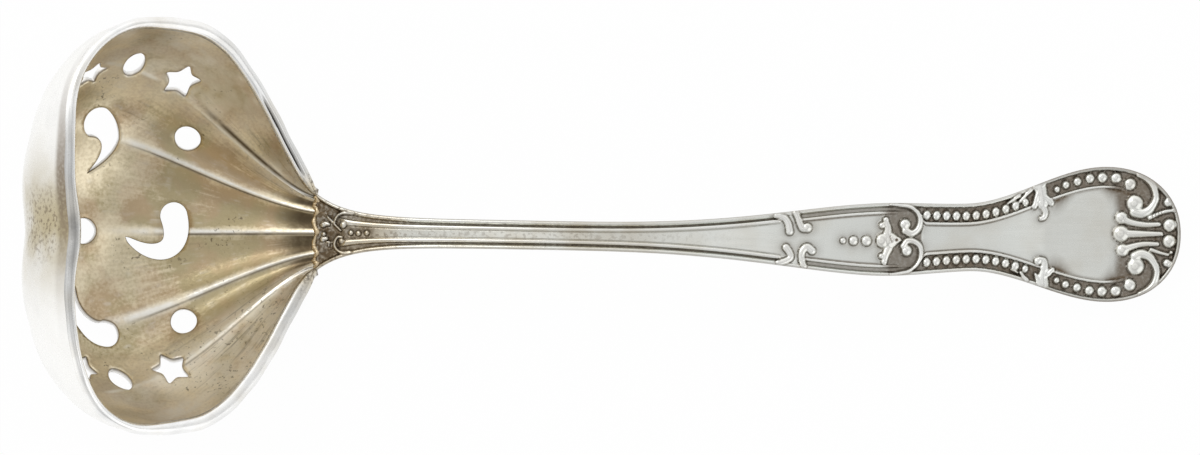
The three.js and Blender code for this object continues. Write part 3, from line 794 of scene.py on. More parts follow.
@dataclass
class Rim:
    """The half-round rim wire on the bowl's edge, broader along the flanks than at the front.

    A worn groove runs along it on one flank, and it bulges inwards at the notch. A painted highlight lies
    along its inner edge and flanks, painted shade along its feet, and its ends taper and are stained.
    """

    bowl: Bowl
    width: float = 1.3
    height: float = 0.9
    section_power: float = 0.8
    lip: float = 0.2
    flank_lip: float = 0.9
    groove_lip: float = 0.6
    blend: float = 10.0
    setback: float = 0.12
    seam: float = 0.08
    taper_rows: float = 24.0
    taper_start: float = 0.16
    groove_depth: float = 0.4
    groove_place: float = 0.45
    groove_half: float = 0.13
    groove_start: float = 2.4
    groove_end: float = 10.8
    notch_bulge: float = 0.5
    notch_reach: float = 5.0
    samples: int = 640
    sides: int = 30

    def path(self) -> Array:
        """Edge of the bowl in its rim plane, sampled evenly from one side of the neck to the other.

        Returns:
            Places u and v, one row each.
        """
        bowl = self.bowl
        first = bowl.flank_place(bowl.neck_half + self.setback)
        flank_u, flank_v = bowl.flank(first + (1 - first) * np.sin(np.linspace(0.0, np.pi / 2, 300)))
        front_u, front_v = bowl.front(np.sin(np.linspace(-np.pi / 2, np.pi / 2, 601)[1:-1]))
        u = np.concatenate([flank_u, front_u, flank_u[::-1]])
        v = np.concatenate([-flank_v, front_v, flank_v[::-1]])
        run = np.concatenate([[0.0], np.cumsum(np.hypot(np.diff(u), np.diff(v)))])
        even = np.linspace(0.0, run[-1], self.samples)
        return np.stack([np.interp(even, run, u), np.interp(even, run, v)], axis=1)

    def surface(self) -> Surface:
        """Half-round section carried along the path, slightly uneven as a hand-fitted wire is.

        Returns:
            The rim.
        """
        bowl = self.bowl
        path = self.path()
        along = np.gradient(path, axis=0)
        along /= np.linalg.norm(along, axis=1, keepdims=True)
        out = np.stack([along[:, 1], -along[:, 0]], axis=1)
        u, v = path.T
        flank = fall(u, bowl.shoulder + self.blend / 2, self.blend)
        front = 1 - fall(u, bowl.shoulder + self.blend, self.blend)
        row = np.arange(len(path))
        uneven = 1 + 0.03 * np.sin(row * 0.25) + 0.025 * np.sin(row * 0.11 + 1.0)
        ends = np.sqrt(smooth(np.minimum(row, row[::-1]) / self.taper_rows + self.taper_start))
        bulge = self.notch_bulge * bell(v, 0.0, self.notch_reach) * front
        flank_lip = np.where(v > 0, self.groove_lip, self.flank_lip)
        inner = -(lerp(self.lip, flank_lip, flank) + bulge) * ends
        outer = (self.width - self.lip) * uneven * ends
        turn = np.linspace(0.0, np.pi, self.sides)
        reach = lerp(inner[:, None], outer[:, None], (1 + np.cos(turn)) / 2)
        inset = reach - inner[:, None]
        worn = fall(u, self.groove_end, 2.6) * rise(u, self.groove_start, 1.8) * (v > 0)
        groove = worn[:, None] * bell(inset, self.groove_place, self.groove_half)
        arc = self.height * (uneven * ends)[:, None] * np.sin(turn)**self.section_power
        level = np.maximum(self.seam + arc - self.groove_depth * groove, self.seam)
        wire_u = u[:, None] + reach * out[:, 0, None]
        wire_v = v[:, None] + reach * out[:, 1, None]
        points = bowl.from_rim_plane(wire_u, wire_v, level)
        shades = self.shades(path, front, inset, groove)
        return Surface(points.reshape(-1, 3), ring_faces(len(path), self.sides), None, shades)

    def shades(self, path: Array, front: Array, inset: Array, groove: Array) -> dict[str, Array]:
        """Rim wear and painted light: highlights, shade at feet and front, smudges, dark groove, stained
        ends.

        Args:
            path: Places in the rim plane, one row each.
            front: How far each of them is round the front, from 0 to 1.
            inset: Distance of each point of the wire from its inner edge.
            groove: How far each point lies in the groove, from 0 to 1.

        Returns:
            The shades from 0 to 1 at each point.
        """
        u, v = path.T
        row = np.arange(len(path))
        turn = np.linspace(0.0, np.pi, self.sides)
        corner = rise(u, 14.0, 6.0) * rise(np.abs(v), 8.0, 8.0)
        # Painted shade along both feet of the wire where it meets the bowl: the outer one away from the
        # corners, the inner one darkest at them.
        painted_inner_shade = lerp(0.2, 0.7, corner)[:, None] * bell(turn, np.pi, 0.3)
        edges = 0.38 * bell(turn, 0.0, 0.5) * (1 - corner)[:, None] + painted_inner_shade
        # Uneven tarnish smudges, and painted shade on the outward half of the wire round the front.
        smears_and_shade = (0.36 + 0.22 * np.sin(row * 0.19) * np.sin(row * 0.071))[:, None] * front[:, None]
        smears_and_shade = smears_and_shade * rise(np.cos(turn), -0.35, 0.7) * bell(v, 0.0, 9.0)[:, None]
        # Painted highlight: a white line along the inner edge and a lighter band on the flanks, not on the
        # stained ends.
        painted_highlight_place = lerp(0.16, 0.34, front)[:, None]
        painted_inner_highlight = bell(inset, painted_highlight_place, 0.85 * painted_highlight_place)
        painted_flank_highlight = rise(np.abs(v), 9.0, 8.0) * np.maximum(np.where(v > 0, 0.4, 0.8), corner)
        stain = np.repeat(fall(u, 4.4, 3.0)[:, None], self.sides, axis=1)
        polish_and_painted_light = np.maximum(painted_inner_highlight, painted_flank_highlight[:, None]) * (1 - stain)
        patina = np.maximum.reduce([edges, groove, smears_and_shade])
        return {"patina": patina.ravel(), "polish_and_painted_light": polish_and_painted_light.ravel(), "stain": stain.ravel()}


@dataclass
class Solder:
    """The solder fillet along the fluted neck edge."""

    bowl: Bowl
    radius: float = 0.46
    seam: float = 0.08
    reach: float = 0.94
    samples: int = 181
    sides: int = 14

    def surface(self) -> Surface:
        """Half-round bead along the neck edge, lumpy because its radius ripples by two sines.

        Returns:
            The fillet.
        """
        g = np.linspace(-self.reach, self.reach, self.samples)
        t = np.zeros_like(g)
        along, _, out = self.bowl.directions(g, t)
        base = self.bowl.inside(g, t) - self.seam * out
        ripple = 0.86 + 0.16 * np.sin(19.0 * g) + 0.1 * np.sin(47.0 * g + 0.6)
        radius = self.radius * ripple * np.sqrt(smooth((self.reach - np.abs(g)) / 0.05 + 0.1))
        turn = np.linspace(0.0, np.pi, self.sides)
        across = radius[:, None, None] * np.cos(turn)[None, :, None] * along[:, None, :]
        up = radius[:, None, None] * np.sin(turn)[None, :, None] * out[:, None, :]
        points = base[:, None, :] + across - up
        return Surface(points.reshape(-1, 3), ring_faces(len(g), self.sides))


@dataclass(frozen=True)
class Stroke:
    """A raised or cut line of ornament: a curve through points on the handle's face, or one for a bead.

    The radius runs evenly from the first to the last along it, and the crest stands over the face. A bead
    is an oval, as long along the handle as its radius times the oval.
    """

    points: tuple[Point, ...]
    first: float
    last: float
    crest: float
    oval: float = 1.0


def bead(s: float, y: float, radius: float, crest: float, oval: float = 1.0) -> Stroke:
    """Bead at one point."""
    return Stroke(((s, y),), radius, radius, crest, oval)


@dataclass(frozen=True)
class Face:
    """What striking has made of the handle's face, at each place of a grid.

    The inset is the distance from the edge and the gap that from the nearest stroke. The moat and the
    crests are from 0 to 1, and the cut is a depth.
    """

    inset: Array
    height: Array
    gap: Array
    moat: Array
    cut: Array
    crests: Array


@dataclass
class Handle:
    """The die-struck handle: a flared root, a slender stem, a panel, a beaded waist and a round terminal.

    Places on it are s, the distance from the neck, and y, the distance from its middle line. The tip reaches
    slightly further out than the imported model's.
    """

    bowl: Bowl
    stem_at: float = 27.6
    panel_at: float = 74.2
    waist_at: float = 84.5
    terminal_at: float = 102.6
    end_length: float = 9.75
    end_extra: float = 0.45
    scroll_at: float = 61.8
    root_start: float = -0.12
    root_half: float = 4.9
    root_flare: float = 4.1
    stem_half: float = 1.87
    panel_half: float = 4.72
    waist_half: float = 4.39
    terminal_half: float = 8.79
    stem_power: float = 1.75
    end_power: float = 2.15
    stem_thickness: float = 2.3
    terminal_thickness: float = 1.8
    root_step: float = 0.45
    arch_reach: float = 38.0
    arch_height: float = 9.6
    tip_wear: float = 0.15
    recess: float = 0.3
    ground_depth: float = 0.18
    border_height: float = 0.3
    rib_height: float = 0.26
    crest_power: float = 1.15
    moat_width: float = 0.13
    moat_depth: float = 0.09
    moat_clear: float = 0.4
    line_columns: tuple[int, ...] = (7, 16, 8, 36)
    section_stops: tuple[float, ...] = (7.6, 59.0, 65.2, 67.4)
    section_counts: tuple[int, ...] = (74, 70, 60, 10, 330)
    end_sections: int = 112
    side_half: float = 1.2
    side_insets: tuple[float, ...] = (0.0, 0.1, 0.4, 0.9)
    side_lifts: tuple[float, ...] = (1.1, 0.45, 0.1, 0.0, 0.0, 0.0)
    # Tarnish on the sides and back, and painted shade that darkens their reflection of the white table.
    side_tarnish_and_shade: tuple[float, ...] = (0.6, 0.55, 0.4, 0.1, 0.0, 0.0)
    tongue_length: float = 5.5
    tongue_thickness: float = 0.9
    tongue_tip: float = 0.45
    tongue_share: float = 1 / 3
    seat: float = 0.3
    bow_down: float = 0.56
    bow_reach: float = 65.0
    bow_back: float = 0.84
    bow_turn: float = 70.0
    stain_reach: float = 24.0

    @property
    def length(self) -> float:
        """Distance from the neck to the tip."""
        return self.terminal_at + self.end_length

    def half_width(self, s: Array) -> Array:
        """Half the width: an exponential flare, a swelling stem, two smooth steps and a rounded end.

        Args:
            s: Places along the handle.

        Returns:
            Half the width at each place.
        """
        flare = self.stem_half + (self.root_half - self.stem_half) * np.exp(-s / self.root_flare)
        run = np.clip((s - self.stem_at) / (self.panel_at - self.stem_at), 0, 1)
        swell = lerp(self.stem_half, self.panel_half, smooth(run**self.stem_power))
        narrowed = rise(s, self.panel_at, self.waist_at - self.panel_at)
        narrow = lerp(self.panel_half, self.waist_half, narrowed)
        widened = rise(s, self.waist_at, self.terminal_at - self.waist_at)
        widen = lerp(self.waist_half, self.terminal_half, widened)
        places = [s < self.stem_at, s < self.panel_at, s < self.waist_at, s < self.terminal_at]
        return np.select(places, [flare, swell, narrow, widen], self.end_half_width(s))

    def end_half_width(self, s: Array) -> Array:
        """Half the width of the rounded end, a quarter of a superellipse."""
        share = np.clip((s - self.terminal_at) / self.end_length, 0, 1)
        return self.terminal_half * (1 - share**self.end_power)**(1 / self.end_power)

    def from_edge(self, s: Array, y: Array) -> Array:
        """Distance in from the edge; in the rounded end, what is left of the superellipse's radius.

        Args:
            s: Places along the handle.
            y: Places across it.

        Returns:
            The distance of each place from the edge.
        """
        along = np.clip((s - self.terminal_at) / self.end_length, 0, None)**self.end_power
        across = (np.abs(y) / self.terminal_half)**self.end_power
        in_end = (1 - (along + across)**(1 / self.end_power)) * self.terminal_half
        return np.where(s < self.terminal_at, self.half_width(s) - np.abs(y), in_end)

    def thickness(self, s: Array) -> Array:
        """Thickness, easing from the stem's to the terminal's."""
        share = rise(s, self.stem_at, self.terminal_at - self.stem_at)
        return lerp(self.stem_thickness, self.terminal_thickness, share)

    def underside(self, s: Array) -> Array:
        """Height of the back: a quarter sine up to the arch, then a smooth fall to the table.

        Args:
            s: Places along the handle.

        Returns:
            The height over the table at each place.
        """
        root = self.bowl.neck_height + self.root_step - self.stem_thickness
        climbed = np.sin(np.pi * np.minimum(s, self.arch_reach) / (2 * self.arch_reach))
        fallen = rise(s, self.arch_reach, self.length - self.arch_reach)
        worn = np.maximum(0.0, (self.arch_height + self.tip_wear) * (1 - fallen) - self.tip_wear)
        return np.where(s < self.arch_reach, lerp(root, self.arch_height, climbed), worn)

    def blend(self, s: Array, stem: Array, panel: float, waist: float, terminal: float) -> Array:
        """Value that changes from part to part of the handle, at the scrolls, volutes and brackets.

        Args:
            s: Places along the handle.
            stem: Value on the root and stem.
            panel: Value on the panel.
            waist: Value on the waist.
            terminal: Value on the terminal.

        Returns:
            The value at each place.
        """
        starts = (self.scroll_at - 0.5, self.panel_at + 3.4, self.terminal_at - 9.0)
        to_panel, to_waist, to_terminal = (rise(s, start, 1.5) for start in starts)
        return lerp(lerp(lerp(stem, panel, to_panel), waist, to_waist), terminal, to_terminal)

    def lines(self, s: Array) -> tuple[Array, Array, Array]:
        """Insets of the relief's lines.

        Args:
            s: Places along the handle.

        Returns:
            Where the border, the channel and the inner rib end.
        """
        flare = np.where(s < self.stem_at, self.half_width(s) / self.stem_half, 1.0)
        border = self.blend(s, 0.52, 0.47, 0.48, 0.42)
        channel = self.blend(s, 0.82 * flare, 1.06, 2.4, 2.42)
        rib = self.blend(s, 1.32 * flare, 1.46, 2.8, 2.8)
        return border, channel, rib

    def bridge(self, s: Array) -> Array:
        """Where the channel and rib stop between the two hooks of the scrolls, from 0 to 1."""
        return rise(s, self.scroll_at - 1.9, 0.5) * fall(s, self.scroll_at + 0.9, 0.5)

    def grounds(self, s: Array, y: Array) -> tuple[Array, Array]:
        """Sunk grounds of the root, the bud and the palmette, which slope down from the plain face.

        Args:
            s: Places along the handle.
            y: Places across it.

        Returns:
            How far the face has sunk, and how far the inner rib has ended, each from 0 to 1.
        """
        root = fall(s, 3.6, 0.9)
        before_waist = fall(s, self.panel_at + 4.4, 0.4)
        bud = rise(s, self.panel_at - 1.9, 2.6) * before_waist
        bud_rib = rise(s, self.panel_at + 0.5, 0.9) * before_waist
        rounding = 0.035 * np.clip(np.abs(y) - 1.5, 0, None)**2
        palm = rise(s + rounding, self.terminal_at + 0.1, 2.6)
        palm_rib = rise(s, self.terminal_at + 1.7, 0.9)
        return np.maximum.reduce([root, bud, palm]), np.maximum.reduce([root, bud_rib, palm_rib])

    def base_relief(self, s: Array, y: Array) -> Array:
        """Border, channel, rib and plain panel, by the distance from the edge.

        The border and rib are half-round. The channel and the grounds of the ornament are sunk.

        Args:
            s: Places along the handle.
            y: Places across it.

        Returns:
            The height over the plain face at each place.
        """
        inset = self.from_edge(s, y)
        border, channel, rib = self.lines(s)
        sunk, rib_ended = self.grounds(s, y)
        side = 0.17
        crest = self.border_height * dome((inset - 0.5 * border) / (0.5 * border))
        floor = -self.recess * rise(inset, border, side) * smooth((channel - inset) / side + 0.4)
        ridge = self.rib_height * dome((inset - 0.5 * (channel + rib)) / (0.5 * (rib - channel)))
        groove = -0.06 * bell(inset - rib, 0.05, 0.07)
        floor = lerp(floor, -self.recess * rise(inset, border, side), rib_ended)
        ridge = lerp(ridge, -self.ground_depth, rib_ended)
        face = lerp(groove, -self.ground_depth, sunk)
        joined = 1 - self.bridge(s)
        floor, ridge, face = floor * joined, ridge * joined, face * joined
        return np.select([inset < border, inset < channel, inset < rib], [crest, floor, ridge], face)

    def ornament(self) -> list[Stroke]:
        """Every raised line and bead, measured from the neck, the scrolls, the panel and the terminal."""
        return [*self.root_ornament(), *self.scrolls(), *self.panel_ornament(), *self.bead_rows(),
                *self.brackets(), *self.volutes(), *self.palmette()]

    @staticmethod
    def moved(start: float, strokes: list[Stroke]) -> list[Stroke]:
        """The same strokes, further along the handle."""
        return [replace(stroke, points=tuple((start + s, y) for s, y in stroke.points))
                for stroke in strokes]

    def root_ornament(self) -> list[Stroke]:
        """Small petals, C-scrolls and three beads at the root."""
        return [
            bead(0.72, 1.02, 0.44, 0.18),
            Stroke(((0.95, 1.15), (1.45, 1.05)), 0.38, 0.26, 0.18),
            bead(0.8, -0.25, 0.34, 0.14),
            Stroke(((0.66, -0.9), (1.15, -0.8)), 0.42, 0.28, 0.18),
            Stroke(((1.29, 2.01), (1.83, 1.49), (2.41, 0.84), (2.99, 0.27)), 0.19, 0.17, 0.18),
            Stroke(((1.2, -1.25), (1.95, -1.3)), 0.15, 0.13, 0.08),
            Stroke(((1.5, -1.3), (1.48, -1.85)), 0.15, 0.13, 0.08),
            Stroke(((4.6, 2.5), (3.2, 2.5), (2.47, 2.0), (2.18, 1.25)), 0.26, 0.18, 0.26),
            Stroke(((4.2, -2.55), (3.1, -2.6), (2.4, -2.1), (2.2, -1.4), (2.6, -0.62), (3.15, -0.6)),
                   0.26, 0.2, 0.26),
            bead(3.32, 0.97, 0.46, 0.3),
            bead(3.08, -1.08, 0.38, 0.28),
            bead(4.36, -0.05, 0.36, 0.3),
            bead(5.33, -0.1, 0.37, 0.3),
            bead(6.43, -0.05, 0.36, 0.3),
        ]

    def scrolls(self) -> list[Stroke]:
        """Hooked scrolls that end the stem's ribs and begin the panel's."""
        return self.moved(self.scroll_at, [
            Stroke(((-2.3, 3.0), (-1.3, 2.75), (-0.75, 2.0), (-0.57, 1.0)), 0.42, 0.54, 0.38),
            Stroke(((0.2, 3.4), (0.49, 2.8), (0.75, 2.04), (1.1, 1.4), (1.6, 1.35)), 0.46, 0.48, 0.38),
            bead(1.72, 1.5, 0.66, 0.46),
            Stroke(((-1.05, -1.06), (-0.57, -1.75), (-0.45, -2.4), (-1.3, -2.9), (-2.0, -3.0)),
                   0.5, 0.42, 0.38),
            Stroke(((2.35, -1.5), (1.65, -1.0), (1.05, -1.65), (1.0, -2.6), (1.3, -3.4)), 0.54, 0.46, 0.4),
        ])

    def panel_ornament(self) -> list[Stroke]:
        """Three growing beads, a bud between two leaves, and a pair of volutes."""
        return self.moved(self.panel_at, [
            bead(-6.02, -0.16, 0.42, 0.3),
            bead(-4.66, -0.16, 0.63, 0.42),
            bead(-2.97, -0.16, 0.7, 0.48),
            bead(-0.74, -0.16, 1.02, 0.5),
            Stroke(((0.05, -0.14), (0.65, -0.1), (1.3, -0.06)), 1.15, 0.36, 0.5),
            Stroke(((-0.2, 0.7), (-0.15, 1.45), (-0.36, 2.3)), 0.62, 0.42, 0.36),
            bead(-0.42, 2.55, 0.46, 0.4),
            bead(-0.92, 1.83, 0.46, 0.38),
            Stroke(((-0.05, -1.1), (-0.4, -1.95), (-0.58, -2.7)), 0.64, 0.44, 0.36),
            bead(-0.62, -2.9, 0.46, 0.38),
            bead(-1.0, -2.15, 0.42, 0.36),
            Stroke(((0.2, 4.5), (1.6, 4.35), (2.8, 4.1), (3.7, 3.4), (4.05, 2.4), (3.75, 1.3), (2.95, 0.72),
                    (2.1, 1.1)), 0.2, 0.58, 0.46),
            bead(2.05, 1.93, 0.8, 0.54),
            Stroke(((0.2, -4.5), (1.5, -4.35), (2.7, -4.05), (3.6, -3.35), (4.1, -2.3), (4.05, -1.1),
                    (3.3, -0.35), (2.35, -0.25), (1.85, -0.9)), 0.2, 0.52, 0.46),
            bead(2.3, -1.5, 0.78, 0.52),
        ])

    def bead_rows(self) -> list[Stroke]:
        """Beads in the channel of the waist and of the terminal, the last ones growing to the tip.

        Returns:
            The beads, two at each place.
        """
        stations = np.linspace(self.panel_at + 4.9, self.terminal_at - 10.58, 11)
        across = self.half_width(stations) - np.linspace(1.5, 1.7, 11)
        radius = np.append(np.full(10, 0.68), 0.6)
        waist = zip(stations, across, radius)
        end = ((-6.45, 5.93, 0.44), (-5.28, 6.48, 0.52), (-3.78, 6.9, 0.57), (-2.15, 7.3, 0.62),
               (-0.5, 7.42, 0.67), (1.3, 7.36, 0.72), (3.15, 6.58, 0.8))
        sides = (1, -1)
        waist_beads = [bead(s, side * y, r, 0.3, 0.86) for s, y, r in waist for side in sides]
        end_beads = [bead(s, side * y, 1.1 * r, 0.34) for s, y, r in end for side in sides]
        return waist_beads + self.moved(self.terminal_at, end_beads)

    def brackets(self) -> list[Stroke]:
        """Leafy brackets before the terminal, different on each side, and the blades before them."""
        blades = [
            Stroke(((-12.9, 4.25), (-12.3, 4.62), (-11.4, 5.2)), 0.2, 0.32, 0.3),
            Stroke(((-11.34, 4.42), (-10.75, 5.05), (-9.9, 5.85)), 0.24, 0.34, 0.32),
            Stroke(((-12.4, -4.34), (-11.6, -4.74)), 0.18, 0.2, 0.26),
            Stroke(((-11.2, -4.74), (-10.8, -5.3), (-10.4, -5.72)), 0.22, 0.36, 0.3),
        ]
        return self.moved(self.terminal_at, blades + [
            Stroke(((-8.75, 6.5), (-8.45, 5.2), (-8.32, 4.0)), 0.95, 0.72, 0.4),
            Stroke(((-8.7, 6.0), (-9.05, 5.0), (-9.4, 3.75)), 0.56, 0.42, 0.38),
            Stroke(((-8.3, 5.0), (-7.7, 4.65), (-7.2, 4.15)), 0.6, 0.46, 0.36),
            Stroke(((-8.3, 3.8), (-7.95, 3.0), (-8.1, 2.35), (-8.5, 2.15)), 0.46, 0.36, 0.36),
            bead(-8.9, -3.36, 0.56, 0.42),
            Stroke(((-8.75, -3.02), (-8.14, -3.3), (-8.03, -3.95), (-8.15, -4.75), (-8.3, -5.6),
                    (-8.27, -6.4)), 0.26, 0.92, 0.4),
            Stroke(((-8.2, -5.4), (-7.55, -5.1), (-7.0, -4.55)), 0.52, 0.36, 0.36),
            Stroke(((-9.26, -5.05), (-8.95, -5.6), (-8.65, -6.2)), 0.24, 0.52, 0.36),
        ])

    def volutes(self) -> list[Stroke]:
        """The pair of large volutes at the tip."""
        return self.moved(self.terminal_at, [
            Stroke(((4.2, 7.75), (5.3, 7.15), (6.15, 6.2), (6.5, 4.8), (5.8, 3.4), (4.7, 2.75), (3.7, 2.95)),
                   0.36, 0.74, 0.5),
            bead(3.75, 4.08, 1.18, 0.6),
            Stroke(((4.4, -7.7), (5.5, -7.1), (6.35, -6.1), (6.65, -4.6), (5.85, -3.05), (4.7, -2.5),
                    (3.8, -2.85)), 0.36, 0.74, 0.5),
            bead(3.9, -4.12, 1.22, 0.6),
        ])

    def palmette(self) -> list[Stroke]:
        """Three rays with round heads, two end beads, two drops and two thin ribs."""
        return self.moved(self.terminal_at, [
            Stroke(((2.01, 0.1), (4.5, 0.1), (7.2, 0.1)), 0.66, 0.38, 0.42),
            bead(2.01, 0.1, 1.14, 0.54),
            Stroke(((2.05, 2.1), (3.3, 1.58), (5.15, 1.3), (6.9, 1.35)), 0.56, 0.36, 0.4),
            bead(2.03, 2.17, 0.88, 0.48),
            Stroke(((2.21, -2.02), (3.4, -1.55), (4.9, -1.22), (6.7, -1.22)), 0.55, 0.36, 0.4),
            bead(2.2, -2.04, 0.9, 0.48),
            bead(8.3, 1.24, 0.94, 0.44),
            bead(8.25, -0.85, 0.95, 0.44),
            bead(8.05, 4.22, 0.64, 0.4),
            bead(8.0, -3.7, 0.64, 0.4),
            bead(8.5, -2.3, 0.32, 0.34),
            Stroke(((5.7, 2.2), (7.4, 2.95), (9.0, 3.2)), 0.34, 0.28, 0.28),
            Stroke(((5.9, -1.95), (7.2, -2.4), (8.1, -2.6)), 0.32, 0.26, 0.28),
        ])

    def cuts(self) -> list[Stroke]:
        """Dot and line cut into the bud, and hatching on one of the palmette's thin ribs.

        Returns:
            The cuts, with their depths as crests.
        """
        bud = [
            bead(0.95, -0.08, 0.22, 0.22),
            Stroke(((0.08, 0.4), (0.16, 0.05), (0.32, -0.32)), 0.12, 0.1, 0.12),
        ]
        ribs = [Stroke(((s, 0.45 * s - 0.75), (s + 0.1, 0.45 * s)), 0.07, 0.07, 0.1)
                for s in (6.0, 6.4, 6.8, 7.2)]
        return self.moved(self.panel_at, bud) + self.moved(self.terminal_at, ribs)

    def struck(self, s: Array, y: Array) -> Face:
        """The struck face.

        Each stroke rises in a half round, out of the sunk ground to its crest, and the highest wins. A
        thin moat is cut round every stroke, and the cuts are half-round grooves.

        Args:
            s: Grid of places along, the same across each row.
            y: Grid of places across.

        Returns:
            The face, with its heights over the plain face.
        """
        ground = self.base_relief(s, y)
        inset = self.from_edge(s, y)
        height = ground.copy()
        far = 9.0
        gap = np.full(s.shape, far)
        crests = np.zeros_like(height)
        for stroke in self.ornament():
            part, away, radius = self.near_stroke(s, y, stroke)
            base = np.minimum(ground[part], 0.0)
            raised = base + (stroke.crest - base) * dome(away / radius)**self.crest_power
            height[part] = np.where(away < radius, np.maximum(height[part], raised), height[part])
            gap[part] = np.minimum(gap[part], away - radius)
            # The crests mask carries the painted highlight on each stroke.
            crests[part] = np.maximum(crests[part], smooth((1 - away / radius) / 0.8))
        moat = bell(np.clip(gap, 0, None), 0.0, self.moat_width) * (gap > 0)
        cut = np.zeros_like(height)
        for stroke in self.cuts():
            part, away, radius = self.near_stroke(s, y, stroke)
            cut[part] = np.maximum(cut[part], stroke.crest * dome(away / radius))
        height = height - self.moat_depth * moat * smooth(inset / self.moat_clear) - cut
        return Face(inset, height, gap, moat, cut, crests)

    def ribbed(self, s: Array, y: Array) -> Array:
        """Where the inner rib stands, from 0 to 1."""
        return (1 - self.grounds(s, y)[1]) * (1 - self.bridge(s))

    def patina(self, s: Array, y: Array, face: Face) -> Array:
        """How dark the face is.

        What is sunk has gone dark, most of all in the waist and the terminal. Dirt has gathered along the
        rib, round the ornament and in the corners of the plain face. Painted shade lies beside the rib, round
        the base of each stroke, along the edges and evenly over the shield.

        Args:
            s: Grid of places along.
            y: Grid of places across.
            face: The struck face there.

        Returns:
            The patina from 0 to 1.
        """
        inset, gap = face.inset, face.gap
        border, _, rib = self.lines(s)
        plain = (inset > rib) & (gap > 0)
        tone = self.blend(s, 0.8, 0.6, 0.92, 0.88)
        sunk = tone * rise(-face.height, 0.07, 0.2)
        ground_tone = np.maximum(0.8, tone) + 0.2 * fall(s, 8.0, 4.0)
        shaded = ground_tone * rise(self.grounds(s, y)[0], 0.05, 0.9) * (gap > 0) * (inset > 0.4)
        root_flat = 0.85 * fall(s, 8.2, 1.4) * plain
        # Dark line just inside the rib: dirt in its groove, and painted shade beside the rib.
        line = self.blend(s, 0.3, 0.85, 0.75, 0.7) * bell(inset - rib, 0.08, 0.13)
        line = line * self.ribbed(s, y) * (gap > 0)
        # Dark ring round the base of each stroke: dirt, and painted shade that rounds beads and balls.
        foot_dirt_and_shade = 0.5 * rise(gap, -0.2, 0.2) * (gap <= 0)
        dirt = 0.55 * np.exp(-np.clip(gap, 0, None) / 0.4) * plain
        # Tarnish along the outline, and painted shade darkening its bright edges.
        edge = 0.6 * np.clip(1 - inset / 0.24, 0, 1) + self.blend(s, 0.0, 0.0, 0.0, 0.35) * (inset < border)
        from_terminal = s - self.terminal_at
        shield_end = bell(from_terminal, -6.3, 1.6) + rise(from_terminal, -1.5, 3.0)
        on_shield = rise(from_terminal, -9.0, 1.5)
        from_rib = np.clip(inset - rib, 0, None)
        corners = shield_end * np.exp(-from_rib / 1.3) + 0.4 * on_shield * np.exp(-from_rib / 0.4)
        # Painted shade: the whole shield evenly a little darker.
        painted_shield_shade = 0.14 * on_shield * plain
        layers = [sunk, shaded, root_flat, 0.75 * face.moat, line, foot_dirt_and_shade, dirt, edge, corners * plain, painted_shield_shade,
                  6 * face.cut]
        return np.clip(np.maximum.reduce(layers), 0, 1)

    def polish_and_painted_light(self, s: Array, y: Array, face: Face) -> Array:
        """How far crests of strokes, rib and border are rubbed bright, with a painted highlight on each.

        Args:
            s: Grid of places along.
            y: Grid of places across.
            face: The struck face there.

        Returns:
            The polish from 0 to 1.
        """
        border, channel, rib = self.lines(s)
        rib_crest = dome((face.inset - 0.5 * (channel + rib)) / (0.4 * (rib - channel))) * self.ribbed(s, y)
        border_crest = dome((face.inset - 0.5 * border) / (0.4 * border)) * self.blend(s, 0.3, 0.5, 0.5, 0.0)
        return self.blend(s, 1.0, 1.0, 1.0, 0.6) * np.maximum.reduce([face.crests, rib_crest, border_crest])

    def near_stroke(self, s: Array, y: Array, stroke: Stroke) -> tuple[slice, Array, Array]:
        """Distances from a stroke, in the rows near it.

        Args:
            s: Grid of places along, the same across each row.
            y: Grid of places across.
            stroke: The stroke.

        Returns:
            The rows, and for each place in them the distance from the line and the stroke's radius there.
        """
        margin = 1.6
        path = curve_through(np.array(stroke.points), 8)
        along = s[:, 0]
        rows = np.flatnonzero((along > path[:, 0].min() - margin) & (along < path[:, 0].max() + margin))
        part = slice(rows[0], rows[-1] + 1)
        return part, *self.stroke_distance(s[part], y[part], path, stroke)

    @staticmethod
    def stroke_distance(s: Array, y: Array, path: Array, stroke: Stroke) -> tuple[Array, Array]:
        """Distance of each place from a stroke's line, and the stroke's radius there.

        Args:
            s: Places along.
            y: Places across.
            path: Samples of the stroke's line.
            stroke: The stroke.

        Returns:
            The distances and the radii at the nearest points, for each place.
        """
        if len(path) == 1:
            along = (s - path[0, 0]) / stroke.oval
            return np.hypot(along, y - path[0, 1]), np.full(s.shape, stroke.first)
        start, end = path[:-1], path[1:]
        step = end - start
        size = (step**2).sum(axis=1)
        offset = np.stack([s, y], axis=-1)[:, :, None, :] - start
        share = np.clip((offset * step).sum(axis=-1) / size, 0, 1)
        away = np.linalg.norm(offset - share[..., None] * step, axis=-1)
        along = (np.arange(len(step)) + share) / len(step)
        radius = lerp(stroke.first, stroke.last, along)
        nearest = np.argmin(away - radius, axis=-1)[..., None]
        away, radius = (np.take_along_axis(values, nearest, -1)[..., 0] for values in (away, radius))
        return away, radius

    def stations(self) -> Array:
        """Places of the cross sections, close together in the ornament and wide apart on the stem.

        Returns:
            Distances from the neck.
        """
        stops = (self.root_start, *self.section_stops, self.terminal_at)
        runs = zip(stops, stops[1:], self.section_counts)
        plain = [np.linspace(start, stop, count, endpoint=False) for start, stop, count in runs]
        turn = np.linspace(0.0, 0.985, self.end_sections) * np.pi / 2
        return np.concatenate([*plain, self.terminal_at + self.end_length * np.sin(turn)])

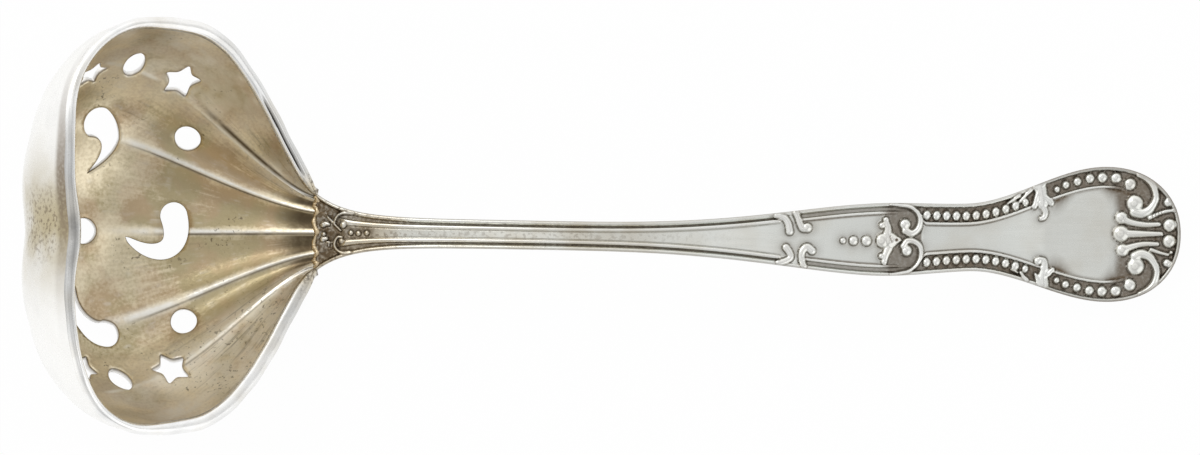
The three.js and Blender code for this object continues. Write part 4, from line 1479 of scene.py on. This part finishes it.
    def across(self, s: Array) -> Array:
        """Columns of the struck face, which follow the border, channel and rib, and are even in the end.

        Args:
            s: Places along the handle.

        Returns:
            For each place a row of shares of the half width, from -1 to 1.
        """
        before_end = np.minimum(s, self.terminal_at)
        half = self.half_width(before_end)
        ends = np.stack([0 * s, *self.lines(before_end), half]) / half
        knots = np.concatenate([[0], np.cumsum(self.line_columns)])
        column = np.arange(knots[-1] + 1)
        part = np.clip(np.searchsorted(knots, column, side="right") - 1, 0, len(knots) - 2)
        step = (column - knots[part]) / np.diff(knots)[part]
        followed = lerp(ends[part], ends[part + 1], step[:, None]).T
        even = column / knots[-1]
        share = 1 - lerp(followed, even, rise(s, self.terminal_at, 2.0)[:, None])
        return np.hstack([-share, share[:, -2::-1]])

    def bow(self, s: Array) -> Array:
        """Slight sideways bend of the handle: down along the stem and back up along the terminal."""
        back = self.bow_back * rise(s, self.bow_turn, self.terminal_at - self.bow_turn)
        return back - self.bow_down * smooth(s / self.bow_reach)

    def surface(self) -> Surface:
        """Closed bar: at each place a ring over the struck face, down one side, under the back and up.

        Returns:
            The handle, with its tongue.
        """
        s = self.stations()
        half = self.half_width(s)
        top_y = half[:, None] * self.across(s)
        top_s = np.repeat(s[:, None], top_y.shape[1], axis=1)
        face = self.struck(top_s, top_y)
        back = self.underside(s)
        top_z = (back + self.thickness(s))[:, None] + face.height
        tight = np.minimum(1.0, half / self.side_half)
        under = np.stack([*(inset * tight for inset in self.side_insets), half * 0.5, half], axis=1)
        side_y = half[:, None] - under
        under_y = np.hstack([side_y, -side_y[:, -2::-1]])
        under_z = back[:, None] + np.array(self.side_lifts + self.side_lifts[-2::-1])
        ring_y = np.hstack([top_y, under_y]) + self.bow(s)[:, None]
        ring_z = np.hstack([top_z, under_z])
        ring_s = np.repeat(s[:, None], ring_y.shape[1], axis=1)
        points = np.stack([self.bowl.neck_x + ring_s, ring_y, ring_z], axis=-1)
        # Tarnish and painted shade on the sides and back.
        under_tarnish_and_shade = np.tile(self.side_tarnish_and_shade + self.side_tarnish_and_shade[-2::-1], (len(s), 1))
        patina = np.hstack([self.patina(top_s, top_y, face), under_tarnish_and_shade])
        polish_and_painted_light = np.hstack([self.polish_and_painted_light(top_s, top_y, face), 0 * under_tarnish_and_shade])
        stain = fall(ring_s, self.stain_reach, self.stain_reach)
        stain = np.maximum(stain, 0.4 * fall(ring_s, 2.4 * self.stain_reach, self.stain_reach))
        faces = ring_faces(len(s), ring_y.shape[1])
        tongue = self.tongue()
        rows, ring, _ = tongue.shape
        faces += ring_faces(rows, ring, points.shape[0] * points.shape[1])
        whole = np.vstack([points.reshape(-1, 3), tongue.reshape(-1, 3)])
        plain = np.zeros(rows * ring)
        worn = {"patina": patina, "polish_and_painted_light": polish_and_painted_light, "stain": stain}
        shades = {name: np.concatenate([values.ravel(), plain]) for name, values in worn.items()}
        return Surface(whole, faces, None, shades)

    def tongue(self) -> Array:
        """The tongue that laps the bowl's outside below the neck, thinning and narrowing to its tip.

        Returns:
            Its rings, from inside the root to the tip.
        """
        bowl = self.bowl
        step = 1e-3
        centre = bowl.inside(np.array([0.0, 0.0]), np.array([step, 3 * step]))
        speed = float(np.linalg.norm(centre[1] - centre[0])) / (2 * step)
        share = np.linspace(0.0, 1.0, 22)
        across = np.sin(np.linspace(-np.pi / 2, np.pi / 2, 41))
        width = self.tongue_share * np.sqrt(1 - 0.94 * share**2.6)
        g = width[:, None] * across
        t = np.repeat((self.tongue_length / speed * share)[:, None], len(across), axis=1)
        _, _, out = bowl.directions(g, t)
        gap = bowl.wall + self.seat
        thick = lerp(self.tongue_thickness, self.tongue_tip, share)[:, None] * np.sqrt(1.02 - across**2)
        inner = bowl.inside(g, t) + gap * out
        outer = bowl.inside(g, t) + (gap + np.minimum(thick, 0.98 * thick.max()))[..., None] * out
        along, _, _ = bowl.directions(np.array(0.0), np.array(0.0))
        rings = np.concatenate([outer, inner[:, ::-1]], axis=1)
        return np.concatenate([rings[:1] - along, rings], axis=0)


class Graph:
    """The nodes of one material or world."""

    def __init__(self, tree: bpy.types.NodeTree) -> None:
        """Starts with an empty tree."""
        self.tree = tree
        self.tree.nodes.clear()

    def node(self, kind: str, inputs: dict[str | int, object] | None = None,
             **settings: object) -> bpy.types.Node:
        """Adds a node.

        Args:
            kind: Blender's name of the node.
            inputs: For each socket, by name or number, a value or another node's output.
            settings: Properties of the node.

        Returns:
            The node.
        """
        made = self.tree.nodes.new(kind)
        for key, value in settings.items():
            setattr(made, key, value)
        for key, value in (inputs or {}).items():
            if isinstance(value, bpy.types.NodeSocket):
                self.tree.links.new(value, made.inputs[key])
            else:
                made.inputs[key].default_value = value
        return made

    def maths(self, operation: str, first: object, second: object = 0.0) -> bpy.types.NodeSocket:
        """Sum, product or other operation on two numbers, held between 0 and 1."""
        inputs = {0: first, 1: second}
        return self.node("ShaderNodeMath", inputs, operation=operation, use_clamp=True).outputs[0]

    def noise(self, scale: float, detail: float, stretch: Colour = (1.0, 1.0, 1.0),
              place: bpy.types.NodeSocket | None = None) -> bpy.types.NodeSocket:
        """Noise in object coordinates, or over a place of its own.

        Args:
            scale: Waves in each metre, or in each unit of the place.
            detail: Octaves of finer noise.
            stretch: Scale of the pattern along X, Y and Z.
            place: Where the pattern is read, when not in object coordinates.

        Returns:
            The noise, about 0.5 on average.
        """
        if place is None:
            place = self.node("ShaderNodeTexCoord").outputs["Object"]
        mapped = self.node("ShaderNodeMapping", {"Vector": place, "Scale": stretch}).outputs[0]
        inputs = {"Vector": mapped, "Scale": scale, "Detail": detail}
        return self.node("ShaderNodeTexNoise", inputs).outputs[0]

    def step(self, value: bpy.types.NodeSocket, low: float, high: float,
             first: float = 0.0, last: float = 1.0) -> bpy.types.NodeSocket:
        """Smooth step of a value from one level to another."""
        inputs = {0: value, 1: low, 2: high, 3: first, 4: last}
        return self.node("ShaderNodeMapRange", inputs, interpolation_type="SMOOTHSTEP").outputs[0]

    def shade(self, name: str) -> bpy.types.NodeSocket:
        """Shade of wear kept at the points of the mesh."""
        return self.node("ShaderNodeAttribute", attribute_name=name).outputs["Fac"]

    def mix(self, share: bpy.types.NodeSocket, first: object, last: object) -> bpy.types.NodeSocket:
        """Mix of two colours.

        Args:
            share: How much of the last one goes in.
            first: A colour or another node's output.
            last: The same for the last colour.

        Returns:
            The mixed colour.
        """
        first, last = ((*value, 1.0) if isinstance(value, tuple) else value for value in (first, last))
        return self.node("ShaderNodeMix", {0: share, 6: first, 7: last}, data_type="RGBA").outputs[2]

    def bump(self, height: bpy.types.NodeSocket, strength: float, depth: float) -> bpy.types.NodeSocket:
        """Small unevenness of the surface, its depth in metres."""
        inputs = {"Height": height, "Strength": strength, "Distance": depth}
        return self.node("ShaderNodeBump", inputs).outputs[0]

    def metal(self, colour: bpy.types.NodeSocket, roughness: bpy.types.NodeSocket,
              normal: bpy.types.NodeSocket) -> None:
        """Ends the graph in a metal surface.

        Args:
            colour: Colour of the metal.
            roughness: Its roughness.
            normal: Its unevenness.
        """
        inputs = {"Base Color": colour, "Metallic": 1.0, "Roughness": roughness, "Normal": normal}
        shader = self.node("ShaderNodeBsdfPrincipled", inputs)
        self.node("ShaderNodeOutputMaterial", {"Surface": shader.outputs[0]})


def new_material(name: str) -> tuple[bpy.types.Material, Graph]:
    """Makes a material.

    Args:
        name: Its name.

    Returns:
        The material and its empty graph.
    """
    made = bpy.data.materials.new(name)
    made.use_nodes = True
    return made, Graph(made.node_tree)


UNEVEN_DEPTH = 0.00006


@dataclass(frozen=True)
class Silver:
    """Silver, bright where it is handled, warm where it is stained, dark where rubbing doesn't reach.

    Painted highlights lighten it on crests and edges, and painted shade darkens it in places.
    """

    name: str
    bright: Colour
    polished_and_highlight_colour: Colour
    warm: Colour
    dark: Colour
    stained_dark: Colour
    roughness: float
    dark_roughness: float
    tarnish: float

    def material(self) -> bpy.types.Material:
        """Metal, dark by patina and painted shade, light by rubbing and painted highlights, finely scratched.

        Returns:
            The material.
        """
        made, graph = new_material(self.name)
        cloud = graph.noise(180.0, 4.0)
        grain = graph.noise(2600.0, 3.0)
        specks = graph.noise(1900.0, 2.0)
        scratches = graph.noise(900.0, 4.0, (0.12, 2.4, 1.0))
        stain = graph.shade("stain")
        patches = graph.maths("MULTIPLY", stain, graph.step(cloud, 0.3, 0.6, 0.45, 1.0))
        warmth = graph.maths("ADD", graph.step(cloud, 0.4, 0.72, 0.0, self.tarnish), patches)
        # Painted highlights, partly real rubbing: this shade mixes the colour towards the highlight colour.
        polish_and_painted_light = graph.maths("MULTIPLY", graph.shade("polish_and_painted_light"), graph.step(cloud, 0.25, 0.5, 0.6, 1.0))
        tint = graph.mix(warmth, graph.mix(polish_and_painted_light, self.bright, self.polished_and_highlight_colour), self.warm)
        gritty = graph.maths("SUBTRACT", stain, polish_and_painted_light)
        grit = graph.maths("MULTIPLY", gritty, graph.step(specks, 0.36, 0.5, 0.8, 0.0))
        mottled = graph.maths("SUBTRACT", graph.step(grain, 0.2, 0.6, 0.8, 1.0),
                              graph.maths("MULTIPLY", stain, graph.step(specks, 0.45, 0.65, 0.0, 0.35)))
        deep = graph.maths("MULTIPLY", graph.shade("patina"), mottled)
        dirt = graph.maths("MAXIMUM", deep, grit)
        shadow = graph.mix(graph.maths("MULTIPLY", stain, 0.8), self.dark, self.stained_dark)
        colour = graph.mix(dirt, tint, shadow)
        brushed = graph.step(scratches, 0.3, 0.75, self.roughness * 0.75, self.roughness * 1.35)
        rough = graph.node("ShaderNodeMix", {0: dirt, 2: brushed, 3: self.dark_roughness}).outputs[0]
        graph.metal(colour, rough, graph.bump(scratches, 0.12, UNEVEN_DEPTH))
        return made


@dataclass(frozen=True)
class Gilding:
    """Worn gilding: satin gold over silver, paler on the flanks with painted light, rubbed through on the
    creases.

    It is mottled with brown and green stains and has dark pits.
    """

    name: str
    gold: Colour
    pale: Colour
    brown: Colour
    green: Colour
    silver: Colour
    dark: Colour
    roughness: float

    def material(self) -> bpy.types.Material:
        """Metal of gold, stain, bare silver, painted light and dark pits, with streaks along the flutes.

        Returns:
            The material.
        """
        made, graph = new_material(self.name)
        places = {0: graph.shade("across"), 1: graph.shade("along")}
        fluted = graph.node("ShaderNodeCombineXYZ", places).outputs[0]
        streaks = graph.noise(9.0, 5.0, (6.0, 0.6, 1.0), fluted)
        cloud = graph.noise(130.0, 5.0)
        rubbed = graph.noise(520.0, 6.0)
        grain = graph.noise(2400.0, 2.0)
        pits = graph.noise(2100.0, 3.0)
        cluster = graph.noise(190.0, 2.0, (1.0, 1.0, 1.3))
        mottled = graph.maths("ADD", graph.step(cloud, 0.4, 0.62, 0.0, 0.72),
                              graph.step(grain, 0.35, 0.7, 0.0, 0.22))
        stained = graph.maths("MULTIPLY", graph.shade("stain"), graph.step(streaks, 0.25, 0.65, 0.5, 1.0))
        brown = graph.mix(graph.step(cluster, 0.4, 0.6), self.brown, self.green)
        # The flank colour mixed in here is partly a painted brightening.
        gold = graph.mix(graph.shade("polish_and_painted_light"), self.gold, self.pale)
        gilt = graph.mix(graph.maths("ADD", mottled, stained), gold, brown)
        # The worn shade brings bare silver, and also the painted highlights on the brows and folds.
        thin = graph.maths("MULTIPLY", graph.shade("worn"), graph.step(rubbed, 0.3, 0.55, 0.4, 1.0))
        scuffed = graph.maths("MULTIPLY", graph.step(rubbed, 0.5, 0.75, 0.0, 0.32),
                              graph.step(streaks, 0.35, 0.7))
        rubbed_colour = graph.mix(graph.maths("ADD", thin, scuffed), gilt, self.silver)
        crowd = graph.maths("ADD", graph.step(cluster, 0.58, 0.68),
                            graph.maths("MULTIPLY", graph.shade("pitted"), 0.8))
        spots = graph.maths("MULTIPLY", graph.step(pits, 0.6, 0.68), crowd)
        # The patina shade also brings painted shade beside the creases and in the flute ends.
        deep = graph.maths("MULTIPLY", graph.shade("patina"), graph.step(rubbed, 0.25, 0.5, 0.7, 1.0))
        smudge = graph.maths("MULTIPLY", graph.shade("pitted"), graph.step(streaks, 0.52, 0.72, 0.0, 0.5))
        marks = graph.maths("MAXIMUM", smudge, graph.maths("MULTIPLY", spots, 0.7))
        dirt = graph.maths("MAXIMUM", deep, marks)
        colour = graph.mix(dirt, rubbed_colour, self.dark)
        satin = graph.step(grain, 0.3, 0.75, self.roughness * 0.85, self.roughness * 1.2)
        graph.metal(colour, satin, graph.bump(grain, 0.3, UNEVEN_DEPTH))
        return made


STRUCK_SILVER = Silver(
    name="struck_silver",
    bright=(0.79, 0.805, 0.77),
    polished_and_highlight_colour=(0.88, 0.88, 0.85),
    warm=(0.6, 0.54, 0.43),
    dark=(0.145, 0.108, 0.072),
    stained_dark=(0.14, 0.1, 0.058),
    roughness=0.22,
    dark_roughness=0.5,
    tarnish=0.25,
)
RIM_SILVER = Silver(
    name="rim_silver",
    bright=(0.66, 0.665, 0.66),
    polished_and_highlight_colour=(0.97, 0.97, 0.96),
    warm=(0.6, 0.53, 0.4),
    dark=(0.05, 0.043, 0.035),
    stained_dark=(0.2, 0.17, 0.13),
    roughness=0.24,
    dark_roughness=0.45,
    tarnish=0.3,
)
SHEET_SILVER = Silver(
    name="sheet_silver",
    bright=(0.8, 0.795, 0.77),
    polished_and_highlight_colour=(0.985, 0.98, 0.96),
    warm=(0.5, 0.43, 0.27),
    dark=(0.2, 0.15, 0.1),
    stained_dark=(0.2, 0.15, 0.1),
    roughness=0.3,
    dark_roughness=0.5,
    tarnish=0.04,
)
SOLDER_SILVER = Silver(
    name="solder_silver",
    bright=(0.66, 0.54, 0.36),
    polished_and_highlight_colour=(0.66, 0.54, 0.36),
    warm=(0.5, 0.39, 0.24),
    dark=(0.14, 0.11, 0.08),
    stained_dark=(0.14, 0.11, 0.08),
    roughness=0.38,
    dark_roughness=0.5,
    tarnish=0.7,
)
GILT_LINING = Gilding(
    name="gilt_lining",
    gold=(0.9, 0.8, 0.595),
    pale=(1.0, 0.91, 0.73),
    brown=(0.49, 0.375, 0.237),
    green=(0.45, 0.38, 0.23),
    silver=(0.92, 0.9, 0.84),
    dark=(0.1, 0.075, 0.045),
    roughness=0.33,
)


class Lamp(Enum):
    """The studio's soft lamps: where each stands, in metres from the spoon, its size and its watts."""

    KEY = ((-0.6, 0.7, 0.85), 0.6, 2.3)
    FILL = ((0.95, -0.6, 0.5), 1.2, 2.2)


# Brightness of the room by the height of the view, from 0 along the table to 1 straight up.
ROOM_LEVELS = (
    (0.0, 1.35), (0.12, 1.0), (0.28, 0.95), (0.5, 0.92), (0.72, 0.66),
    (0.86, 0.56), (0.92, 0.74), (0.96, 0.8), (1.0, 0.6),
)


@dataclass
class Studio:
    """White table, soft lamps and a camera straight above, as in the photograph."""

    neck_x: float
    image_width: int = 1200
    pixel: float = 0.1292
    neck_pixel: float = 316.0
    middle_row: float = 227.5
    axis_row: float = 233.8
    eye: float = 1000.0
    focus: float = 10.0
    sensor: float = 36.0
    roll: float = 0.0055
    view_end: float = 20.0
    table_size: float = 6.0
    table_glow: float = 0.97
    dim_side: float = 0.4
    bright_side: float = 1.38

    def camera(self) -> bpy.types.Object:
        """Camera looking straight down, its lens set by the size of one pixel on the spoon.

        Returns:
            The camera.
        """
        lens = bpy.data.cameras.new("camera")
        lens.sensor_width = self.sensor
        lens.lens = self.sensor * (self.eye - self.focus) / (self.image_width * self.pixel)
        lens.clip_end = self.view_end
        made = bpy.data.objects.new("camera", lens)
        across = self.neck_x + (self.image_width / 2 - self.neck_pixel) * self.pixel
        made.location = (across * MM, (self.axis_row - self.middle_row) * self.pixel * MM, self.eye * MM)
        made.rotation_euler = (0.0, 0.0, self.roll)
        bpy.context.scene.collection.objects.link(made)
        bpy.context.scene.camera = made
        return made

    def table(self) -> bpy.types.Object:
        """White table that keeps the spoon's shadow, and shows as white to the eye and in the silver.

        Returns:
            The table.
        """
        half = self.table_size / 2
        mesh = bpy.data.meshes.new("table")
        corners = [(-half, -half, 0), (half, -half, 0), (half, half, 0), (-half, half, 0)]
        mesh.from_pydata(corners, [], [(0, 1, 2, 3)])
        made = bpy.data.objects.new("table", mesh)
        bpy.context.scene.collection.objects.link(made)
        white, graph = new_material("white_table")
        rays = graph.node("ShaderNodeLightPath").outputs
        seen = graph.maths("ADD", rays["Is Camera Ray"], rays["Is Glossy Ray"])
        seen = graph.maths("ADD", seen, rays["Is Transmission Ray"])
        glow = graph.maths("MULTIPLY", seen, self.table_glow)
        matt = graph.node("ShaderNodeBsdfDiffuse", {"Color": (0.9, 0.9, 0.9, 1.0)}).outputs[0]
        inputs = {"Color": (1.0, 1.0, 1.0, 1.0), "Strength": 1.0}
        light = graph.node("ShaderNodeEmission", inputs).outputs[0]
        mixed = graph.node("ShaderNodeMixShader", {0: glow, 1: matt, 2: light}).outputs[0]
        graph.node("ShaderNodeOutputMaterial", {"Surface": mixed})
        mesh.materials.append(white)
        return made

    def lamps(self) -> None:
        """Two soft square lamps, each aimed at the spoon."""
        for kind in Lamp:
            place, size, watts = kind.value
            lamp = bpy.data.lights.new("lamp_" + kind.name.lower(), "AREA")
            lamp.shape = "SQUARE"
            lamp.size = size
            lamp.energy = watts
            made = bpy.data.objects.new(lamp.name, lamp)
            made.location = place
            made.rotation_euler = (-Vector(place)).to_track_quat("-Z", "Y").to_euler()
            bpy.context.scene.collection.objects.link(made)

    def world(self) -> None:
        """Room light: pale walls under a greyer ceiling, brighter on the side of the key lamp."""
        world = bpy.data.worlds.new("room")
        bpy.context.scene.world = world
        world.use_nodes = True
        graph = Graph(world.node_tree)
        way = graph.node("ShaderNodeTexCoord").outputs["Generated"]
        up = graph.node("ShaderNodeSeparateXYZ", {0: way}).outputs[2]
        ramp = graph.node("ShaderNodeValToRGB", {0: up})
        while len(ramp.color_ramp.elements) < len(ROOM_LEVELS):
            ramp.color_ramp.elements.new(0.5)
        for element, (place, level) in zip(ramp.color_ramp.elements, ROOM_LEVELS):
            element.position = place
            element.color = (level, level, level, 1.0)
        window = Vector(Lamp.KEY.value[0]).normalized()
        sides = {0: way, 1: window}
        facing = graph.node("ShaderNodeVectorMath", sides, operation="DOT_PRODUCT").outputs["Value"]
        levels = {0: facing, 1: -1.0, 2: 1.0, 3: self.dim_side, 4: self.bright_side}
        level = graph.node("ShaderNodeMapRange", levels).outputs[0]
        light = graph.node("ShaderNodeBackground", {"Color": ramp.outputs[0], "Strength": level})
        graph.node("ShaderNodeOutputWorld", {"Surface": light.outputs[0]})


def main() -> None:
    """Builds the studio and then the spoon, piece by piece."""
    logging.basicConfig(level=logging.INFO, format="%(message)s")
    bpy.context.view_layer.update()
    bowl = Bowl()
    handle = Handle(bowl)
    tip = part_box("handle")[1].x / MM
    bowl.neck_x = tip + handle.end_extra - handle.stations()[-1]
    studio = Studio(bowl.neck_x)
    studio.camera()
    studio.table()
    studio.lamps()
    studio.world()
    sheet = SHEET_SILVER.material()
    bowl.surface().piece("pierced_bowl", "bowl_shell", "gilt_silver", [GILT_LINING.material(), sheet])
    Rim(bowl).surface().piece("bowl_rim", "rim_wire", "silver", [RIM_SILVER.material()])
    Solder(bowl).surface().piece("neck_fillet", "neck_solder", "silver", [SOLDER_SILVER.material()])
    handle.surface().piece("struck_handle", "handle", "silver", [STRUCK_SILVER.material()])
    bpy.context.scene.view_settings.view_transform = "Standard"


if __name__ == "__main__":
    main()
